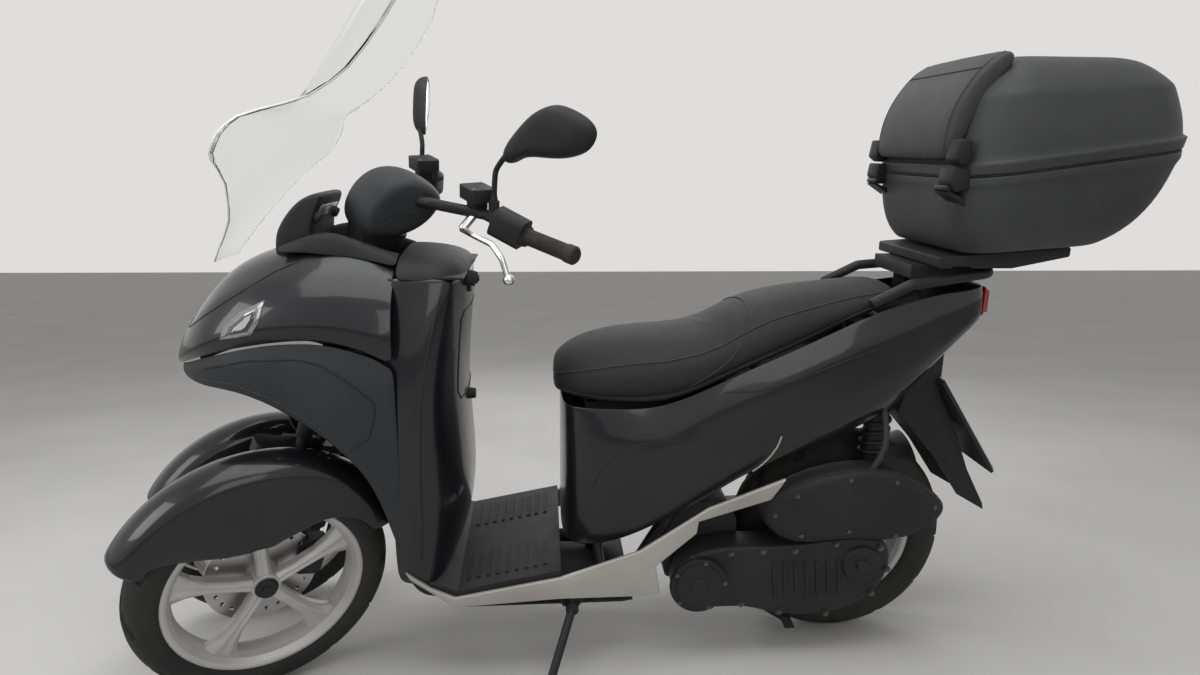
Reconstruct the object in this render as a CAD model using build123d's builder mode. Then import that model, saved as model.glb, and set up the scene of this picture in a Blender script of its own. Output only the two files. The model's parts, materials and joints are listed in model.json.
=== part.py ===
from build123d import *
import math
import os

# Leaning three-wheel scooter, two wheels in front, parked on its side stand.
# Millimetres. Built upright (X forward from the rear axle, Y to its left, Z up), then leaned.

# Stance and wheels
WHEELBASE = 1310
FRONT_TRACK = 385
CASTER = 20
TRAIL = 68
LEAN = 7.5
STEER = 31
FRONT_R = 250
FRONT_W = 90
REAR_R = 251
REAR_W = 110
FRONT_RIM_R = 190
REAR_RIM_R = 165
KING_Y = 116
FIT = 0.1
BORE_FIT = 0.05

# Wheelbase that the typed places below are drawn for, and the length that takes up a change
DRAWN_BASE = 1310
STRETCH_FROM = 700
STRETCH_TO = 950

SIN_C = math.sin(math.radians(CASTER))
COS_C = math.cos(math.radians(CASTER))
SIN_L = math.sin(math.radians(LEAN))
COS_L = math.cos(math.radians(LEAN))
KING_FOOT = WHEELBASE + TRAIL
UP_LINE = (-SIN_C, 0, COS_C)
ACROSS = (COS_C, 0, SIN_C)
WHEEL_Y = FRONT_TRACK / 2


# Typed X moved with the wheelbase: all of the front, none of the rear, a share between
def along(x):
    share = min(max((x - STRETCH_FROM) / (STRETCH_TO - STRETCH_FROM), 0), 1)
    return x + (WHEELBASE - DRAWN_BASE) * share


def carried(point):
    x, y, z = point
    return (along(x), y, z)


# Points by the raked steering line: t runs up along it, u forward across it
def raked(t, u=0, y=0):
    return (KING_FOOT - t * SIN_C + u * COS_C, y, t * COS_C + u * SIN_C)


def turned(vector, angle):
    k = Vector(*UP_LINE)
    v = Vector(*vector)
    c = math.cos(math.radians(angle))
    s = math.sin(math.radians(angle))
    return v * c + k.cross(v) * s + k * (k.dot(v) * (1 - c))


# Height of a tyre's lowest point over the floor with the body leaned
def floor_gap(centre, axle, outer_r, crown_r):
    axle_z = -axle.Y * SIN_L + axle.Z * COS_L
    centre_z = -centre.Y * SIN_L + centre.Z * COS_L
    return centre_z - (outer_r - crown_r) * math.sqrt(1 - axle_z**2) - crown_r


LIFT = -floor_gap(Vector(0, 0, REAR_R), Vector(0, 1, 0), REAR_R, REAR_W / 2)
RISE = {1: 0, -1: 0}
ARM_Y = KING_Y
for pass_number in range(8):
    for side in (1, -1):
        hub = Vector(KING_FOOT, side * ARM_Y, 0) + turned(
            (-TRAIL, side * (WHEEL_Y - KING_Y), FRONT_R), STEER
        )
        gap = floor_gap(hub, turned((0, 1, 0), STEER), FRONT_R, FRONT_W / 2) + LIFT
        RISE[side] = -gap / (COS_C * COS_L)
    TILT = math.degrees(math.asin((RISE[1] - RISE[-1]) / 2 / KING_Y))
    ARM_Y = KING_Y * math.cos(math.radians(TILT))
ARM_RISE = KING_Y * math.sin(math.radians(TILT))


def station(x):
    return Plane(origin=(x, 0, 0), x_dir=(0, 1, 0), z_dir=(1, 0, 0))


def level(z):
    return Plane(origin=(0, 0, z), x_dir=(1, 0, 0), z_dir=(0, 0, 1))


def beside(y):
    return Plane(origin=(0, y, 0), x_dir=(1, 0, 0), z_dir=(0, -1, 0))


def across(t, u=0, y=0):
    return Plane(origin=raked(t, u, y), x_dir=ACROSS, z_dir=UP_LINE)


# One bent tube along a route of points, each typed place moved with the wheelbase unless fixed
def tube(points, radius, bend=40, mode=Mode.ADD, fixed=False):
    if not fixed:
        points = [carried(point) for point in points]
    with BuildLine() as route:
        if len(points) == 2:
            Line(*points)
        else:
            FilletPolyline(*points, radius=bend)
    with BuildSketch(Plane(origin=route.line @ 0, z_dir=route.line % 0)) as ring:
        Circle(radius)
    sweep(ring.sketch, path=route.line, mode=mode)


# A slab with a side outline, between two distances from the centre plane
def slab(outline, y_near, y_far, mode=Mode.ADD, corner=0, fixed=False):
    if not fixed:
        outline = [(along(x), z) for x, z in outline]
    with BuildSketch(beside(y_far)) as face:
        with BuildLine():
            Polyline(*outline, close=True)
        make_face()
        if corner:
            fillet(face.vertices(), corner)
    extrude(face.sketch, amount=y_far - y_near, mode=mode)


# A closed ring from half an outline given from bottom to top
def half_ring(x, half, round_off, inset=0):
    left = [(y, z) for y, z in half]
    right = [(-y, z) for y, z in reversed(half) if y > 0]
    with BuildSketch(station(along(x))) as ring:
        with BuildLine():
            Polyline(*left, *right, close=True)
        make_face()
        if round_off:
            fillet([v for v in ring.vertices() if abs(v.X) > 1], round_off)
        if inset:
            offset(amount=-inset, kind=Kind.INTERSECTION, mode=Mode.REPLACE)
    return ring.sketch


def bulk(rows, round_off, inset=0, mode=Mode.ADD, ruled=True):
    rings = [half_ring(x, half, round_off, inset) for x, half in rows]
    loft(rings, ruled=ruled, mode=mode)


# Wheels and tyres
def tyre_section(x, z, width, outer_r, rim_r):
    low = z + outer_r - width / 2
    with BuildSketch(station(x)) as ring:
        with BuildLine():
            Line((-width / 2 + 9, z + rim_r), (-width / 2, low))
            ThreePointArc((-width / 2, low), (0, z + outer_r), (width / 2, low))
            Line((width / 2, low), (width / 2 - 9, z + rim_r))
            Line((width / 2 - 9, z + rim_r), (-width / 2 + 9, z + rim_r))
        make_face()
    return ring.sketch


def rim_section(x, z, width, rim_r):
    half = width / 2 - 9
    with BuildSketch(station(x)) as ring:
        with BuildLine():
            Polyline(
                (-half, z + rim_r),
                (half, z + rim_r),
                (half, z + rim_r - 9),
                (half - 14, z + rim_r - 22),
                (14 - half, z + rim_r - 22),
                (-half, z + rim_r - 9),
                close=True,
            )
        make_face()
    return ring.sketch


# Place of the left and right front hubs, straight ahead and not yet risen
HUB = {side: (WHEELBASE, side * WHEEL_Y, FRONT_R) for side in (1, -1)}
AXLE_R = 10
HUB_R = 34
DISC_R = 110
DISC_Y = 26

rear_line = Axis((0, 0, REAR_R), (0, 1, 0))
with BuildPart() as rear_tyre:
    revolve(tyre_section(0, REAR_R, REAR_W, REAR_R, REAR_RIM_R), axis=rear_line)
rear_tyre.part.label = "rear_tyre"

with BuildPart() as rear_rim:
    revolve(rim_section(0, REAR_R, REAR_W, REAR_RIM_R), axis=rear_line)
    with BuildSketch(Plane(origin=(0, 42, REAR_R), x_dir=(1, 0, 0), z_dir=(0, -1, 0))):
        Circle(44)
    extrude(amount=84)
    with Locations(Location((0, 0, REAR_R), (90, 0, 0))):
        with PolarLocations(0, 5):
            Box(REAR_RIM_R - 15, 26, 30, align=(Align.MIN, Align.CENTER, Align.CENTER))
    with BuildSketch(Plane(origin=(0, 60, REAR_R), x_dir=(1, 0, 0), z_dir=(0, -1, 0))):
        Circle(AXLE_R + BORE_FIT)
    extrude(amount=120, mode=Mode.SUBTRACT)
rear_rim.part.label = "rear_rim"

with BuildPart() as rear_disc:
    with BuildSketch(Plane(origin=(0, -42, REAR_R), x_dir=(1, 0, 0), z_dir=(0, -1, 0))):
        Circle(115)
        Circle(AXLE_R + 8, mode=Mode.SUBTRACT)
    extrude(amount=4)
rear_disc.part.label = "rear_disc"

FRONT_SPOKES = 5
front_tyres = {}
front_rims = {}
front_discs = {}
for side in (1, -1):
    hub_x, hub_y, hub_z = HUB[side]
    line = Axis((hub_x, 0, hub_z), (0, 1, 0))
    inner = -side
    with BuildPart() as tyre:
        revolve(tyre_section(hub_x, hub_z, FRONT_W, FRONT_R, FRONT_RIM_R), axis=line)
    front_tyres[side] = tyre.part.moved(Location((0, hub_y, 0)))
    with BuildPart() as rim:
        revolve(rim_section(hub_x, hub_z, FRONT_W, FRONT_RIM_R), axis=line)
        with BuildSketch(
            Plane(origin=(hub_x, 28, hub_z), x_dir=(1, 0, 0), z_dir=(0, -1, 0))
        ):
            Circle(HUB_R)
        extrude(amount=28 + DISC_Y - 4)
        for k in range(FRONT_SPOKES):
            bearing = math.radians(18 + 72 * k)
            aim = (math.cos(bearing), 0, math.sin(bearing))
            with BuildSketch(
                Plane(origin=(hub_x, 20, hub_z), x_dir=aim, z_dir=(0, -1, 0))
            ) as arm:
                with BuildLine():
                    Polyline(
                        (0, -16),
                        (60, -12),
                        (FRONT_RIM_R - 45, -15),
                        (FRONT_RIM_R - 12, -36),
                        (FRONT_RIM_R - 12, 36),
                        (FRONT_RIM_R - 45, 15),
                        (60, 12),
                        (0, 16),
                        close=True,
                    )
                make_face()
            extrude(arm.sketch, amount=24)
        with BuildSketch(
            Plane(origin=(hub_x, 60, hub_z), x_dir=(1, 0, 0), z_dir=(0, -1, 0))
        ) as bore:
            Circle(AXLE_R + BORE_FIT)
        extrude(bore.sketch, amount=120, mode=Mode.SUBTRACT)
    flip = rim.part if side == 1 else mirror(rim.part, about=Plane.XZ)
    front_rims[side] = flip.moved(Location((0, hub_y, 0)))
    with BuildPart() as disc:
        with BuildSketch(
            Plane(
                origin=(hub_x, -side * (DISC_Y - 4), hub_z),
                x_dir=(1, 0, 0),
                z_dir=(0, -side, 0),
            )
        ):
            Circle(DISC_R)
            Circle(AXLE_R + 6, mode=Mode.SUBTRACT)
            with PolarLocations(DISC_R - 18, 24):
                Circle(4.5, mode=Mode.SUBTRACT)
        extrude(amount=4)
    front_discs[side] = disc.part.moved(Location((0, hub_y, 0)))

# Fork of each front wheel: two tubes on its inner side under a stem turning in a side pipe
STEM_R = 12
PIPE_R = 17
PIPE_LOW = 545
PIPE_HIGH = 745
ARM_LOW = 600
ARM_HIGH = 705
FORK_Y = WHEEL_Y - FRONT_W / 2 - 31
FORK_U = 42
FORK_TOP = PIPE_LOW - 12
AXLE_T = FRONT_R * COS_C + (KING_FOOT - WHEELBASE) * SIN_C
AXLE_U = FRONT_R * SIN_C - (KING_FOOT - WHEELBASE) * COS_C
ROD_T = PIPE_HIGH + 34
ROD_U = 62
ROD_R = 6
ROD_Y = 14
GUARD_FRONT = 31
GUARD_REAR = 160

forks = {}
sliders = {}
fenders = {}
for side in (1, -1):
    fork_y = side * FORK_Y
    king_y = side * KING_Y
    with BuildPart() as upper:
        tube([raked(FORK_TOP - 4, 0, king_y), raked(ROD_T + 4, 0, king_y)], STEM_R, fixed=True)
        with BuildSketch(across(FORK_TOP - 34, AXLE_U, fork_y - side * 10)) as yoke:
            RectangleRounded(2 * FORK_U + 52, 52, 12)
        extrude(yoke.sketch, amount=30)
        for u in (-FORK_U, FORK_U):
            tube(
                [
                    raked(AXLE_T + 90, AXLE_U + u, fork_y),
                    raked(FORK_TOP - 10, AXLE_U + u, fork_y),
                ],
                14,
            )
        with BuildSketch(across(ROD_T - 7, 0, king_y)) as lever:
            with BuildLine():
                Polyline(
                    (-17, -side * 17),
                    (-17, side * 17),
                    (ROD_U + 12, side * (ROD_Y + 11)),
                    (ROD_U + 12, side * (ROD_Y - 11)),
                    close=True,
                )
            make_face()
        extrude(lever.sketch, amount=12)
        with BuildSketch(across(ROD_T - 10, ROD_U, king_y + side * ROD_Y)) as eye:
            Circle(ROD_R + 0.3)
        extrude(eye.sketch, amount=40, mode=Mode.SUBTRACT)
    forks[side] = upper.part
    with BuildPart() as lower:
        for u in (-FORK_U, FORK_U):
            tube(
                [
                    raked(AXLE_T - 24, AXLE_U + u, fork_y),
                    raked(AXLE_T + 150, AXLE_U + u, fork_y),
                ],
                19,
            )
        with BuildSketch(across(AXLE_T - 26, AXLE_U, fork_y)) as foot:
            RectangleRounded(2 * FORK_U + 30, 34, 10)
        extrude(foot.sketch, amount=52)
        with BuildSketch(across(AXLE_T + 120, AXLE_U, fork_y)) as brace:
            RectangleRounded(2 * FORK_U + 20, 20, 6)
        extrude(brace.sketch, amount=30)
        for u in (-FORK_U, FORK_U):
            tube(
                [
                    raked(AXLE_T + 70, AXLE_U + u, fork_y),
                    raked(AXLE_T + 170, AXLE_U + u, fork_y),
                ],
                14 + BORE_FIT,
                mode=Mode.SUBTRACT,
            )
        tube(
            [
                (WHEELBASE, fork_y, FRONT_R),
                (WHEELBASE, side * (WHEEL_Y + 26), FRONT_R),
            ],
            AXLE_R,
        )
        with BuildSketch(
            Plane(
                origin=raked(AXLE_T + 186, AXLE_U, fork_y + side * 15),
                x_dir=ACROSS,
                z_dir=(0, side, 0),
            )
        ) as stay:
            Rectangle(90, 100)
        extrude(stay.sketch, amount=WHEEL_Y - FORK_Y - 15 - 53)
    sliders[side] = lower.part
    # Caliper over the disc, carried behind the rear tube
    disc_y = side * (WHEEL_Y - DISC_Y + 2)
    with BuildPart() as grip:
        with BuildSketch(
            Plane(
                origin=raked(AXLE_T + 46, AXLE_U - 88, disc_y + side * 15),
                x_dir=ACROSS,
                z_dir=(0, -side, 0),
            )
        ) as block:
            RectangleRounded(52, 84, 10)
        extrude(block.sketch, amount=33)
        with BuildSketch(
            Plane(
                origin=(WHEELBASE, disc_y + side * 4, FRONT_R),
                x_dir=(1, 0, 0),
                z_dir=(0, -side, 0),
            )
        ) as slot:
            Circle(DISC_R + 4)
        extrude(slot.sketch, amount=8, mode=Mode.SUBTRACT)
        with BuildSketch(
            Plane(
                origin=raked(AXLE_T + 46, AXLE_U - 76, fork_y + side * 4),
                x_dir=ACROSS,
                z_dir=(0, side, 0),
            )
        ) as arm:
            Rectangle(30, 60)
        extrude(arm.sketch, amount=abs(disc_y - side * 18 - fork_y - side * 4) + 1)
    sliders[side] = lower.part + grip.part
    # Mudguard round the top of the tyre
    with BuildPart() as guard:
        out_y = side * 55
        in_y = -side * 53
        with BuildSketch(
            Plane(origin=(WHEELBASE, 0, FRONT_R), x_dir=(0, 1, 0), z_dir=(1, 0, 0))
        ) as hoop:
            with BuildLine():
                Line((in_y, 236), (in_y, 272))
                ThreePointArc((in_y, 272), (side * 2, 298), (out_y, 266))
                Line((out_y, 266), (out_y, 206))
                Line((out_y, 206), (out_y - side * 3, 206))
                Line((out_y - side * 3, 206), (out_y - side * 3, 265))
                ThreePointArc((out_y - side * 3, 265), (side * 2, 295), (in_y + side * 3, 271))
                Line((in_y + side * 3, 271), (in_y + side * 3, 236))
                Line((in_y + side * 3, 236), (in_y, 236))
            make_face()
        round_hub = Axis((WHEELBASE, 0, FRONT_R), (0, -1, 0))
        turned_hoop = hoop.sketch.rotate(round_hub, GUARD_FRONT - 90)
        revolve(turned_hoop, axis=round_hub, revolution_arc=GUARD_REAR - GUARD_FRONT)
    fenders[side] = guard.part.moved(Location((0, side * WHEEL_Y, 0)))


# Steering column and handlebar, straight ahead
COLUMN_R = 14
COLUMN_TOP = 1075
HEAD_LOW = 560
HEAD_HIGH = 900
BAR_R = 11
GRIP_R = 16
BAR = [(0, 1004, 1022), (95, 955, 1032), (165, 862, 1018), (235, 812, 990)]
GRIP_END = (352, 776, 983)
LEVER = [(150, 906, 988), (196, 902, 988), (244, 886, 982), (276, 880, 962), (292, 873, 924)]

with BuildPart() as steering_column:
    tube([raked(ROD_T - 50, 0, 0), raked(COLUMN_TOP, 0, 0)], COLUMN_R, fixed=True)
    with BuildSketch(across(ROD_T - 7, 0, 0)) as pitman:
        with BuildLine():
            Polyline((-18, -26), (ROD_U + 12, -26), (ROD_U + 12, 26), (-18, 26), close=True)
        make_face()
    extrude(pitman.sketch, amount=12)
    with BuildSketch(across(ROD_T - 10, ROD_U, 0)) as eyes:
        with Locations((0, -ROD_Y), (0, ROD_Y)):
            Circle(ROD_R + 0.3)
    extrude(eyes.sketch, amount=40, mode=Mode.SUBTRACT)
    for s in (1, -1):
        points = [(x, s * y, z) for y, x, z in BAR]
        tube(points, BAR_R, 25)
        end_y, end_x, end_z = GRIP_END
        tube([points[-1], (end_x, s * end_y, end_z)], BAR_R - 1)
    tube([raked(COLUMN_TOP - 4, 0, 0), carried((1004, 0, 1030))], 20, fixed=True)
steering_column.part.label = "steering_column"

HOOD = [
    (1072, 948), (
        1090, 1000,
    ), (1046, 1068), (985, 1088), (925, 1066), (900, 1024), (930, 985), (1000, 948),
]
HOOD_INSIDE = [
    (1064, 956), (
        1080, 1000,
    ), (1040, 1060), (985, 1079), (932, 1058), (910, 1024), (936, 993), (1002, 956),
]
with BuildPart() as bar_cover:
    with BuildSketch(beside(82)) as hood:
        with BuildLine():
            Polyline(*[(along(x), z) for x, z in HOOD], close=True)
        make_face()
        fillet(hood.vertices(), 16)
    extrude(hood.sketch, amount=164)
    fillet(bar_cover.edges().filter_by(GeomType.LINE, reverse=True).group_by(Axis.Y)[-1], 3)
    fillet(bar_cover.edges().filter_by(GeomType.LINE, reverse=True).group_by(Axis.Y)[0], 3)
    slab(HOOD_INSIDE, -76, 76, Mode.SUBTRACT)
    tube([raked(960, 0, 0), raked(1040, 0, 0)], 24, mode=Mode.SUBTRACT, fixed=True)
    for s in (1, -1):
        tube([(1004, 0, 1022), (955, s * 95, 1032)], BAR_R, mode=Mode.SUBTRACT)
    add(steering_column.part, mode=Mode.SUBTRACT)
bar_cover.part.label = "bar_cover"

# Grips, switch housings, brake levers, reservoirs and mirrors, for each side of the bar
MIRROR_TURN = 25
MIRROR_OUTLINE = [
    (-10, 2), (-4, 32), (26, 67), (58, 102), (97, 122), (125, 124), (174, 111), (195, 94),
    (197, 78), (186, 55), (162, 40), (124, 28), (75, 25), (40, 20), (20, 2),
]
# side, then X, Y and Z of the stem's top
MIRROR_STEMS = ((1, 848, 220, 1128), (-1, 845, 214, 1104))
STEM_FOOT = (190, 856, 1040)
with BuildPart() as grips:
    for s in (1, -1):
        ey, ex, ez = GRIP_END
        by, bx, bz = BAR[-1]
        start = Vector(along(bx), s * by, bz)
        end = Vector(along(ex), s * ey, ez)
        run = (end - start).normalized()
        with BuildSketch(Plane(origin=start + run * 16, z_dir=run)) as ring:
            Circle(GRIP_R)
            Circle(BAR_R - 1, mode=Mode.SUBTRACT)
        extrude(ring.sketch, amount=(end - start).length - 16)
        with BuildSketch(Plane(origin=end, z_dir=run)) as cap:
            Circle(GRIP_R + 2)
        extrude(cap.sketch, amount=16)
grips.part.label = "grips"

with BuildPart() as switch_housings:
    for s in (1, -1):
        ay, ax, az = BAR[-2]
        by, bx, bz = BAR[-1]
        start = Vector(along(ax), s * ay, az)
        end = Vector(along(bx), s * by, bz)
        run = (end - start).normalized()
        middle = start + run * 24
        with BuildSketch(Plane(origin=middle, x_dir=(0, 0, 1), z_dir=run)) as ring:
            RectangleRounded(58, 50, 14)
        extrude(ring.sketch, amount=(end - start).length - 24)
        tube(
            [
                (STEM_FOOT[1], s * STEM_FOOT[0], 1000),
                (STEM_FOOT[1], s * STEM_FOOT[0], STEM_FOOT[2]),
            ],
            9,
        )
        with BuildSketch(
            Plane(origin=(along(ax + 8), s * (ay - 22), az + 26), z_dir=(0, 0, 1))
        ) as tank:
            RectangleRounded(52, 66, 8)
        extrude(tank.sketch, amount=26)
        with BuildSketch(
            Plane(origin=(along(ax + 8), s * (ay - 22), az + 4), z_dir=(0, 0, 1))
        ) as neck:
            RectangleRounded(34, 34, 6)
        extrude(neck.sketch, amount=22)
        tube([(x, s * y, z) for y, x, z in BAR], BAR_R + 0.05, 25, mode=Mode.SUBTRACT)
switch_housings.part.label = "switch_housings"

with BuildPart() as brake_levers:
    for s in (1, -1):
        tube([(x, s * y, z) for y, x, z in LEVER], 6, 18)
        ball_y, ball_x, ball_z = LEVER[-1]
        with Locations(carried((ball_x, s * ball_y, ball_z))):
            Sphere(11)
        tube([(876, s * 150, 1020), (906, s * 150, 988)], 9)
    add(steering_column.part, mode=Mode.SUBTRACT)
    add(switch_housings.part, mode=Mode.SUBTRACT)
brake_levers.part.label = "brake_levers"

with BuildPart() as mirrors:
    for s, head_x, head_y, head_z in MIRROR_STEMS:
        fy, fx, fz = STEM_FOOT
        tube([(fx, s * fy, fz), (fx, s * fy, head_z - 34), (head_x, s * head_y, head_z)], 6, 16)
        swing = math.radians(MIRROR_TURN)
        wide = Vector(-math.sin(swing), s * math.cos(swing), 0)
        rear = Vector(-math.cos(swing), -s * math.sin(swing), 0)
        place = Vector(along(head_x), s * head_y, head_z) + rear * 8
        with BuildSketch(Plane(origin=place, x_dir=wide, z_dir=-rear)) as shell:
            with BuildLine():
                Polyline(*[(u, v * s) for u, v in MIRROR_OUTLINE], close=True)
            make_face()
            fillet(shell.vertices(), 6)
        extrude(shell.sketch, amount=34)
mirrors.part.label = "mirrors"

# Tie rods, drawn already turned with the wheels
def pins(side):
    local = Vector(ROD_U * COS_C, side * ROD_Y, ROD_U * SIN_C)
    swung = turned(tuple(local), STEER)
    mid = Vector(*raked(ROD_T)) + swung
    out = mid + Vector(-SIN_C * RISE[side], side * ARM_Y, COS_C * RISE[side])
    return mid, out


tie_rods = {}
for side in (1, -1):
    mid, out = pins(side)
    up = Vector(*UP_LINE)
    with BuildPart() as rod:
        for pin in (mid, out):
            with BuildSketch(Plane(origin=pin + up * 6, z_dir=UP_LINE)) as ring:
                Circle(10)
            extrude(ring.sketch, amount=25)
            with BuildSketch(Plane(origin=pin - up * 8, z_dir=UP_LINE)) as ring:
                Circle(ROD_R)
            extrude(ring.sketch, amount=16)
        tube([tuple(mid + up * 24), tuple(out + up * 24)], 6, fixed=True)
    tie_rods[side] = rod.part

# Frame: head pipe and post, tubes under the floor, rails under the seat
RAIL = [
    (985, 40, 560), (966, 112, 195), (900, 118, 190), (520, 118, 182), (430, 110, 330),
    (330, 105, 560), (40, 95, 740), (-180, 80, 806),
]
with BuildPart() as frame:
    with BuildSketch(across(560)) as post:
        Circle(24)
    extrude(post.sketch, amount=195)
    with BuildSketch(across(806)) as head:
        Circle(28)
    extrude(head.sketch, amount=94)
    tube([raked(725), raked(910)], COLUMN_R + BORE_FIT, mode=Mode.SUBTRACT, fixed=True)
    for t in (ARM_LOW, ARM_HIGH):
        with BuildSketch(Plane(origin=raked(t, -26), x_dir=(0, 1, 0), z_dir=ACROSS)) as boss:
            Circle(18)
        extrude(boss.sketch, amount=52)
    tube([raked(725), raked(760)], COLUMN_R + BORE_FIT, mode=Mode.SUBTRACT, fixed=True)
    for low_t, high_t, near, far in (
        (560, 574, -24, -60), (628, 678, -24, -60), (730, 755, -24, -60), (806, 900, -24, -60),
        (560, 900, -54, -80),
    ):
        corners = [raked(low_t, near), raked(high_t, near), raked(high_t, far), raked(low_t, far)]
        slab([(x, z) for x, y, z in corners], -14, 14, fixed=True)
    for s in (1, -1):
        rail = [raked(850, -66, s * 8)]
        for x, y, z in RAIL:
            rail.append(carried((x, s * y, z)))
        tube(rail, 16, 40, fixed=True)
    tube([(880, -118, 190), (880, 118, 190)], 12)
    tube([(560, -118, 184), (560, 118, 184)], 12)
    tube([(200, -100, 641), (200, 100, 641)], 12)
    slab([(600, 192), (664, 192), (650, 168), (616, 168)], 128, 163)
    tube([(-60, -95, 762), (-60, 95, 762)], 12)
    tube([(444, -112, 336), (444, 112, 336)], 12)
frame.part.label = "frame"

side_pipes = {}
with BuildPart() as tilt_arms:
    for t in (ARM_LOW, ARM_HIGH):
        for u, deep in ((26, 24), (-26, -20)):
            with BuildSketch(Plane(origin=raked(t, u), x_dir=(0, 1, 0), z_dir=ACROSS)) as link:
                with Locations(Location((0, 0, 0), (0, 0, TILT))):
                    SlotCenterToCenter(2 * KING_Y, 34)
            extrude(link.sketch, amount=deep)
        for y, dt in ((0, 0), (ARM_Y, ARM_RISE), (-ARM_Y, -ARM_RISE)):
            tube([raked(t + dt, 48, y), raked(t + dt, 66, y)], 12, fixed=True)
tilt_arms.part.label = "tilt_arms"

for side in (1, -1):
    shift = side * ARM_RISE
    with BuildPart() as pipe:
        tube(
            [raked(PIPE_LOW + shift, 0, side * ARM_Y), raked(PIPE_HIGH + shift, 0, side * ARM_Y)],
            PIPE_R, fixed=True,
        )
        for t in (ARM_LOW, ARM_HIGH):
            tube(
                [raked(t + shift, -26, side * ARM_Y), raked(t + shift, 26, side * ARM_Y)], 17,
                fixed=True,
            )
        tube(
            [
                raked(PIPE_LOW + shift - 10, 0, side * ARM_Y),
                raked(PIPE_HIGH + shift + 10, 0, side * ARM_Y),
            ],
            STEM_R + BORE_FIT, mode=Mode.SUBTRACT, fixed=True,
        )
    side_pipes[side] = pipe.part

# Front body: nose and arch panels cut from one hollow form
COWL = [
    (1436, [(0, 664), (34, 668), (44, 696), (30, 716), (0, 722)]),
    (1392, [(0, 655), (104, 668), (122, 708), (74, 776), (0, 800)]),
    (1300, [(0, 640), (176, 660), (196, 735), (110, 868), (0, 898)]),
    (1180, [(0, 520), (212, 560), (226, 750), (150, 905), (0, 940)]),
    (1060, [(0, 340), (214, 360), (230, 740), (162, 915), (0, 952)]),
    (965, [(0, 180), (206, 190), (224, 720), (176, 880), (0, 905)]),
]
SKIN = 3
ARCH = [
    (1480, 600), (1480, 640), (1436, 657), (1359, 666), (1288, 675), (1226, 656), (1155, 623),
    (1075, 549), (1030, 464), (1004, 380), (990, 304), (940, 296), (940, 100), (1480, 100),
]
ARCH_LINE = [
    (1480, 700), (1436, 690), (1347, 725), (1253, 753), (1161, 765), (1080, 756), (1012, 700),
    (990, 640), (982, 560), (955, 560), (955, 100), (1480, 100),
]

with BuildPart() as cowl_form:
    bulk(COWL, 12)
with BuildPart() as cowl:
    add(cowl_form.part)
    bulk([(x - 1 if x < 1000 else x, half) for x, half in COWL], 12, SKIN, Mode.SUBTRACT)
    slab(ARCH, -260, 260, Mode.SUBTRACT)
    with BuildSketch(level(850)) as gap:
        with Locations((along(1045), 0)):
            SlotOverall(150, 120)
    extrude(gap.sketch, amount=200, mode=Mode.SUBTRACT)

with BuildPart() as nose_cowl:
    add(cowl.part)
    slab(ARCH_LINE, -260, 260, Mode.SUBTRACT)
nose_cowl.part.label = "nose_cowl"
with BuildPart() as arch_panels:
    add(cowl.part)
    slab(ARCH_LINE, -260, 260, Mode.INTERSECT)
arch_panels.part.label = "arch_panels"

# Inner leg shield facing the rider, open to the front
SHIELD = [
    (265, [(965, 200), (925, 202), (902, 150), (888, 90)]),
    (420, [(965, 212), (928, 214), (868, 150), (846, 100)]),
    (640, [(965, 222), (924, 224), (880, 150), (858, 100)]),
    (800, [(965, 196), (904, 200), (862, 140), (842, 90)]),
    (880, [(965, 172), (878, 170), (850, 120), (836, 80)]),
]


def shield_ring(z, half, inset=0):
    left = [(x - inset if i else x, y - inset) for i, (x, y) in enumerate(half)]
    if inset:
        left = [(half[0][0] + 1, half[0][1] - inset)] + [
            (x + inset, y - inset * 0.8)
            for x, y in half[1:]
        ]
    left = [(along(x), y) for x, y in left]
    right = [(x, -y) for x, y in reversed(left)]
    with BuildSketch(level(z)) as ring:
        with BuildLine():
            Polyline(*left, *right, close=True)
        make_face()
    return ring.sketch


with BuildPart() as shield_rib:
    loft([shield_ring(z, half) for z, half in SHIELD], ruled=True)
    slab([(860, 296), (964, 296), (964, 306), (860, 306)], -108, 108, Mode.INTERSECT)
with BuildPart() as leg_shield:
    loft([shield_ring(z, half) for z, half in SHIELD], ruled=True)
    loft(
        [shield_ring(z + (-3 if z < 300 else 0), half, 3) for z, half in SHIELD], ruled=True,
        mode=Mode.SUBTRACT,
    )
    with BuildSketch(level(870)) as gap:
        with Locations((along(1000), 0)):
            Rectangle(220, 120)
    extrude(gap.sketch, amount=40, mode=Mode.SUBTRACT)
    add(shield_rib.part)
    add(frame.part, mode=Mode.SUBTRACT)
leg_shield.part.label = "leg_shield"

# Dash top with the opening for the column, and the meter in its hood
with BuildPart() as dash:
    slab([(963, 880), (838, 880), (838, 885), (963, 888)], -168, 168)
    with BuildSketch(level(840)) as gap:
        with Locations((along(1040), 0)):
            SlotOverall(150, 120)
    extrude(gap.sketch, amount=140, mode=Mode.SUBTRACT)
dash.part.label = "dash"

with BuildPart() as meter:
    slab(
        [
            (1216, 900), (1214, 962), (1186, 1006), (1150, 1036), (1116, 1043), (1108, 1034),
            (1134, 996), (1140, 900),
        ],
        -92, 92, corner=4,
    )
    add(cowl_form.part, mode=Mode.SUBTRACT)
meter.part.label = "meter"

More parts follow.
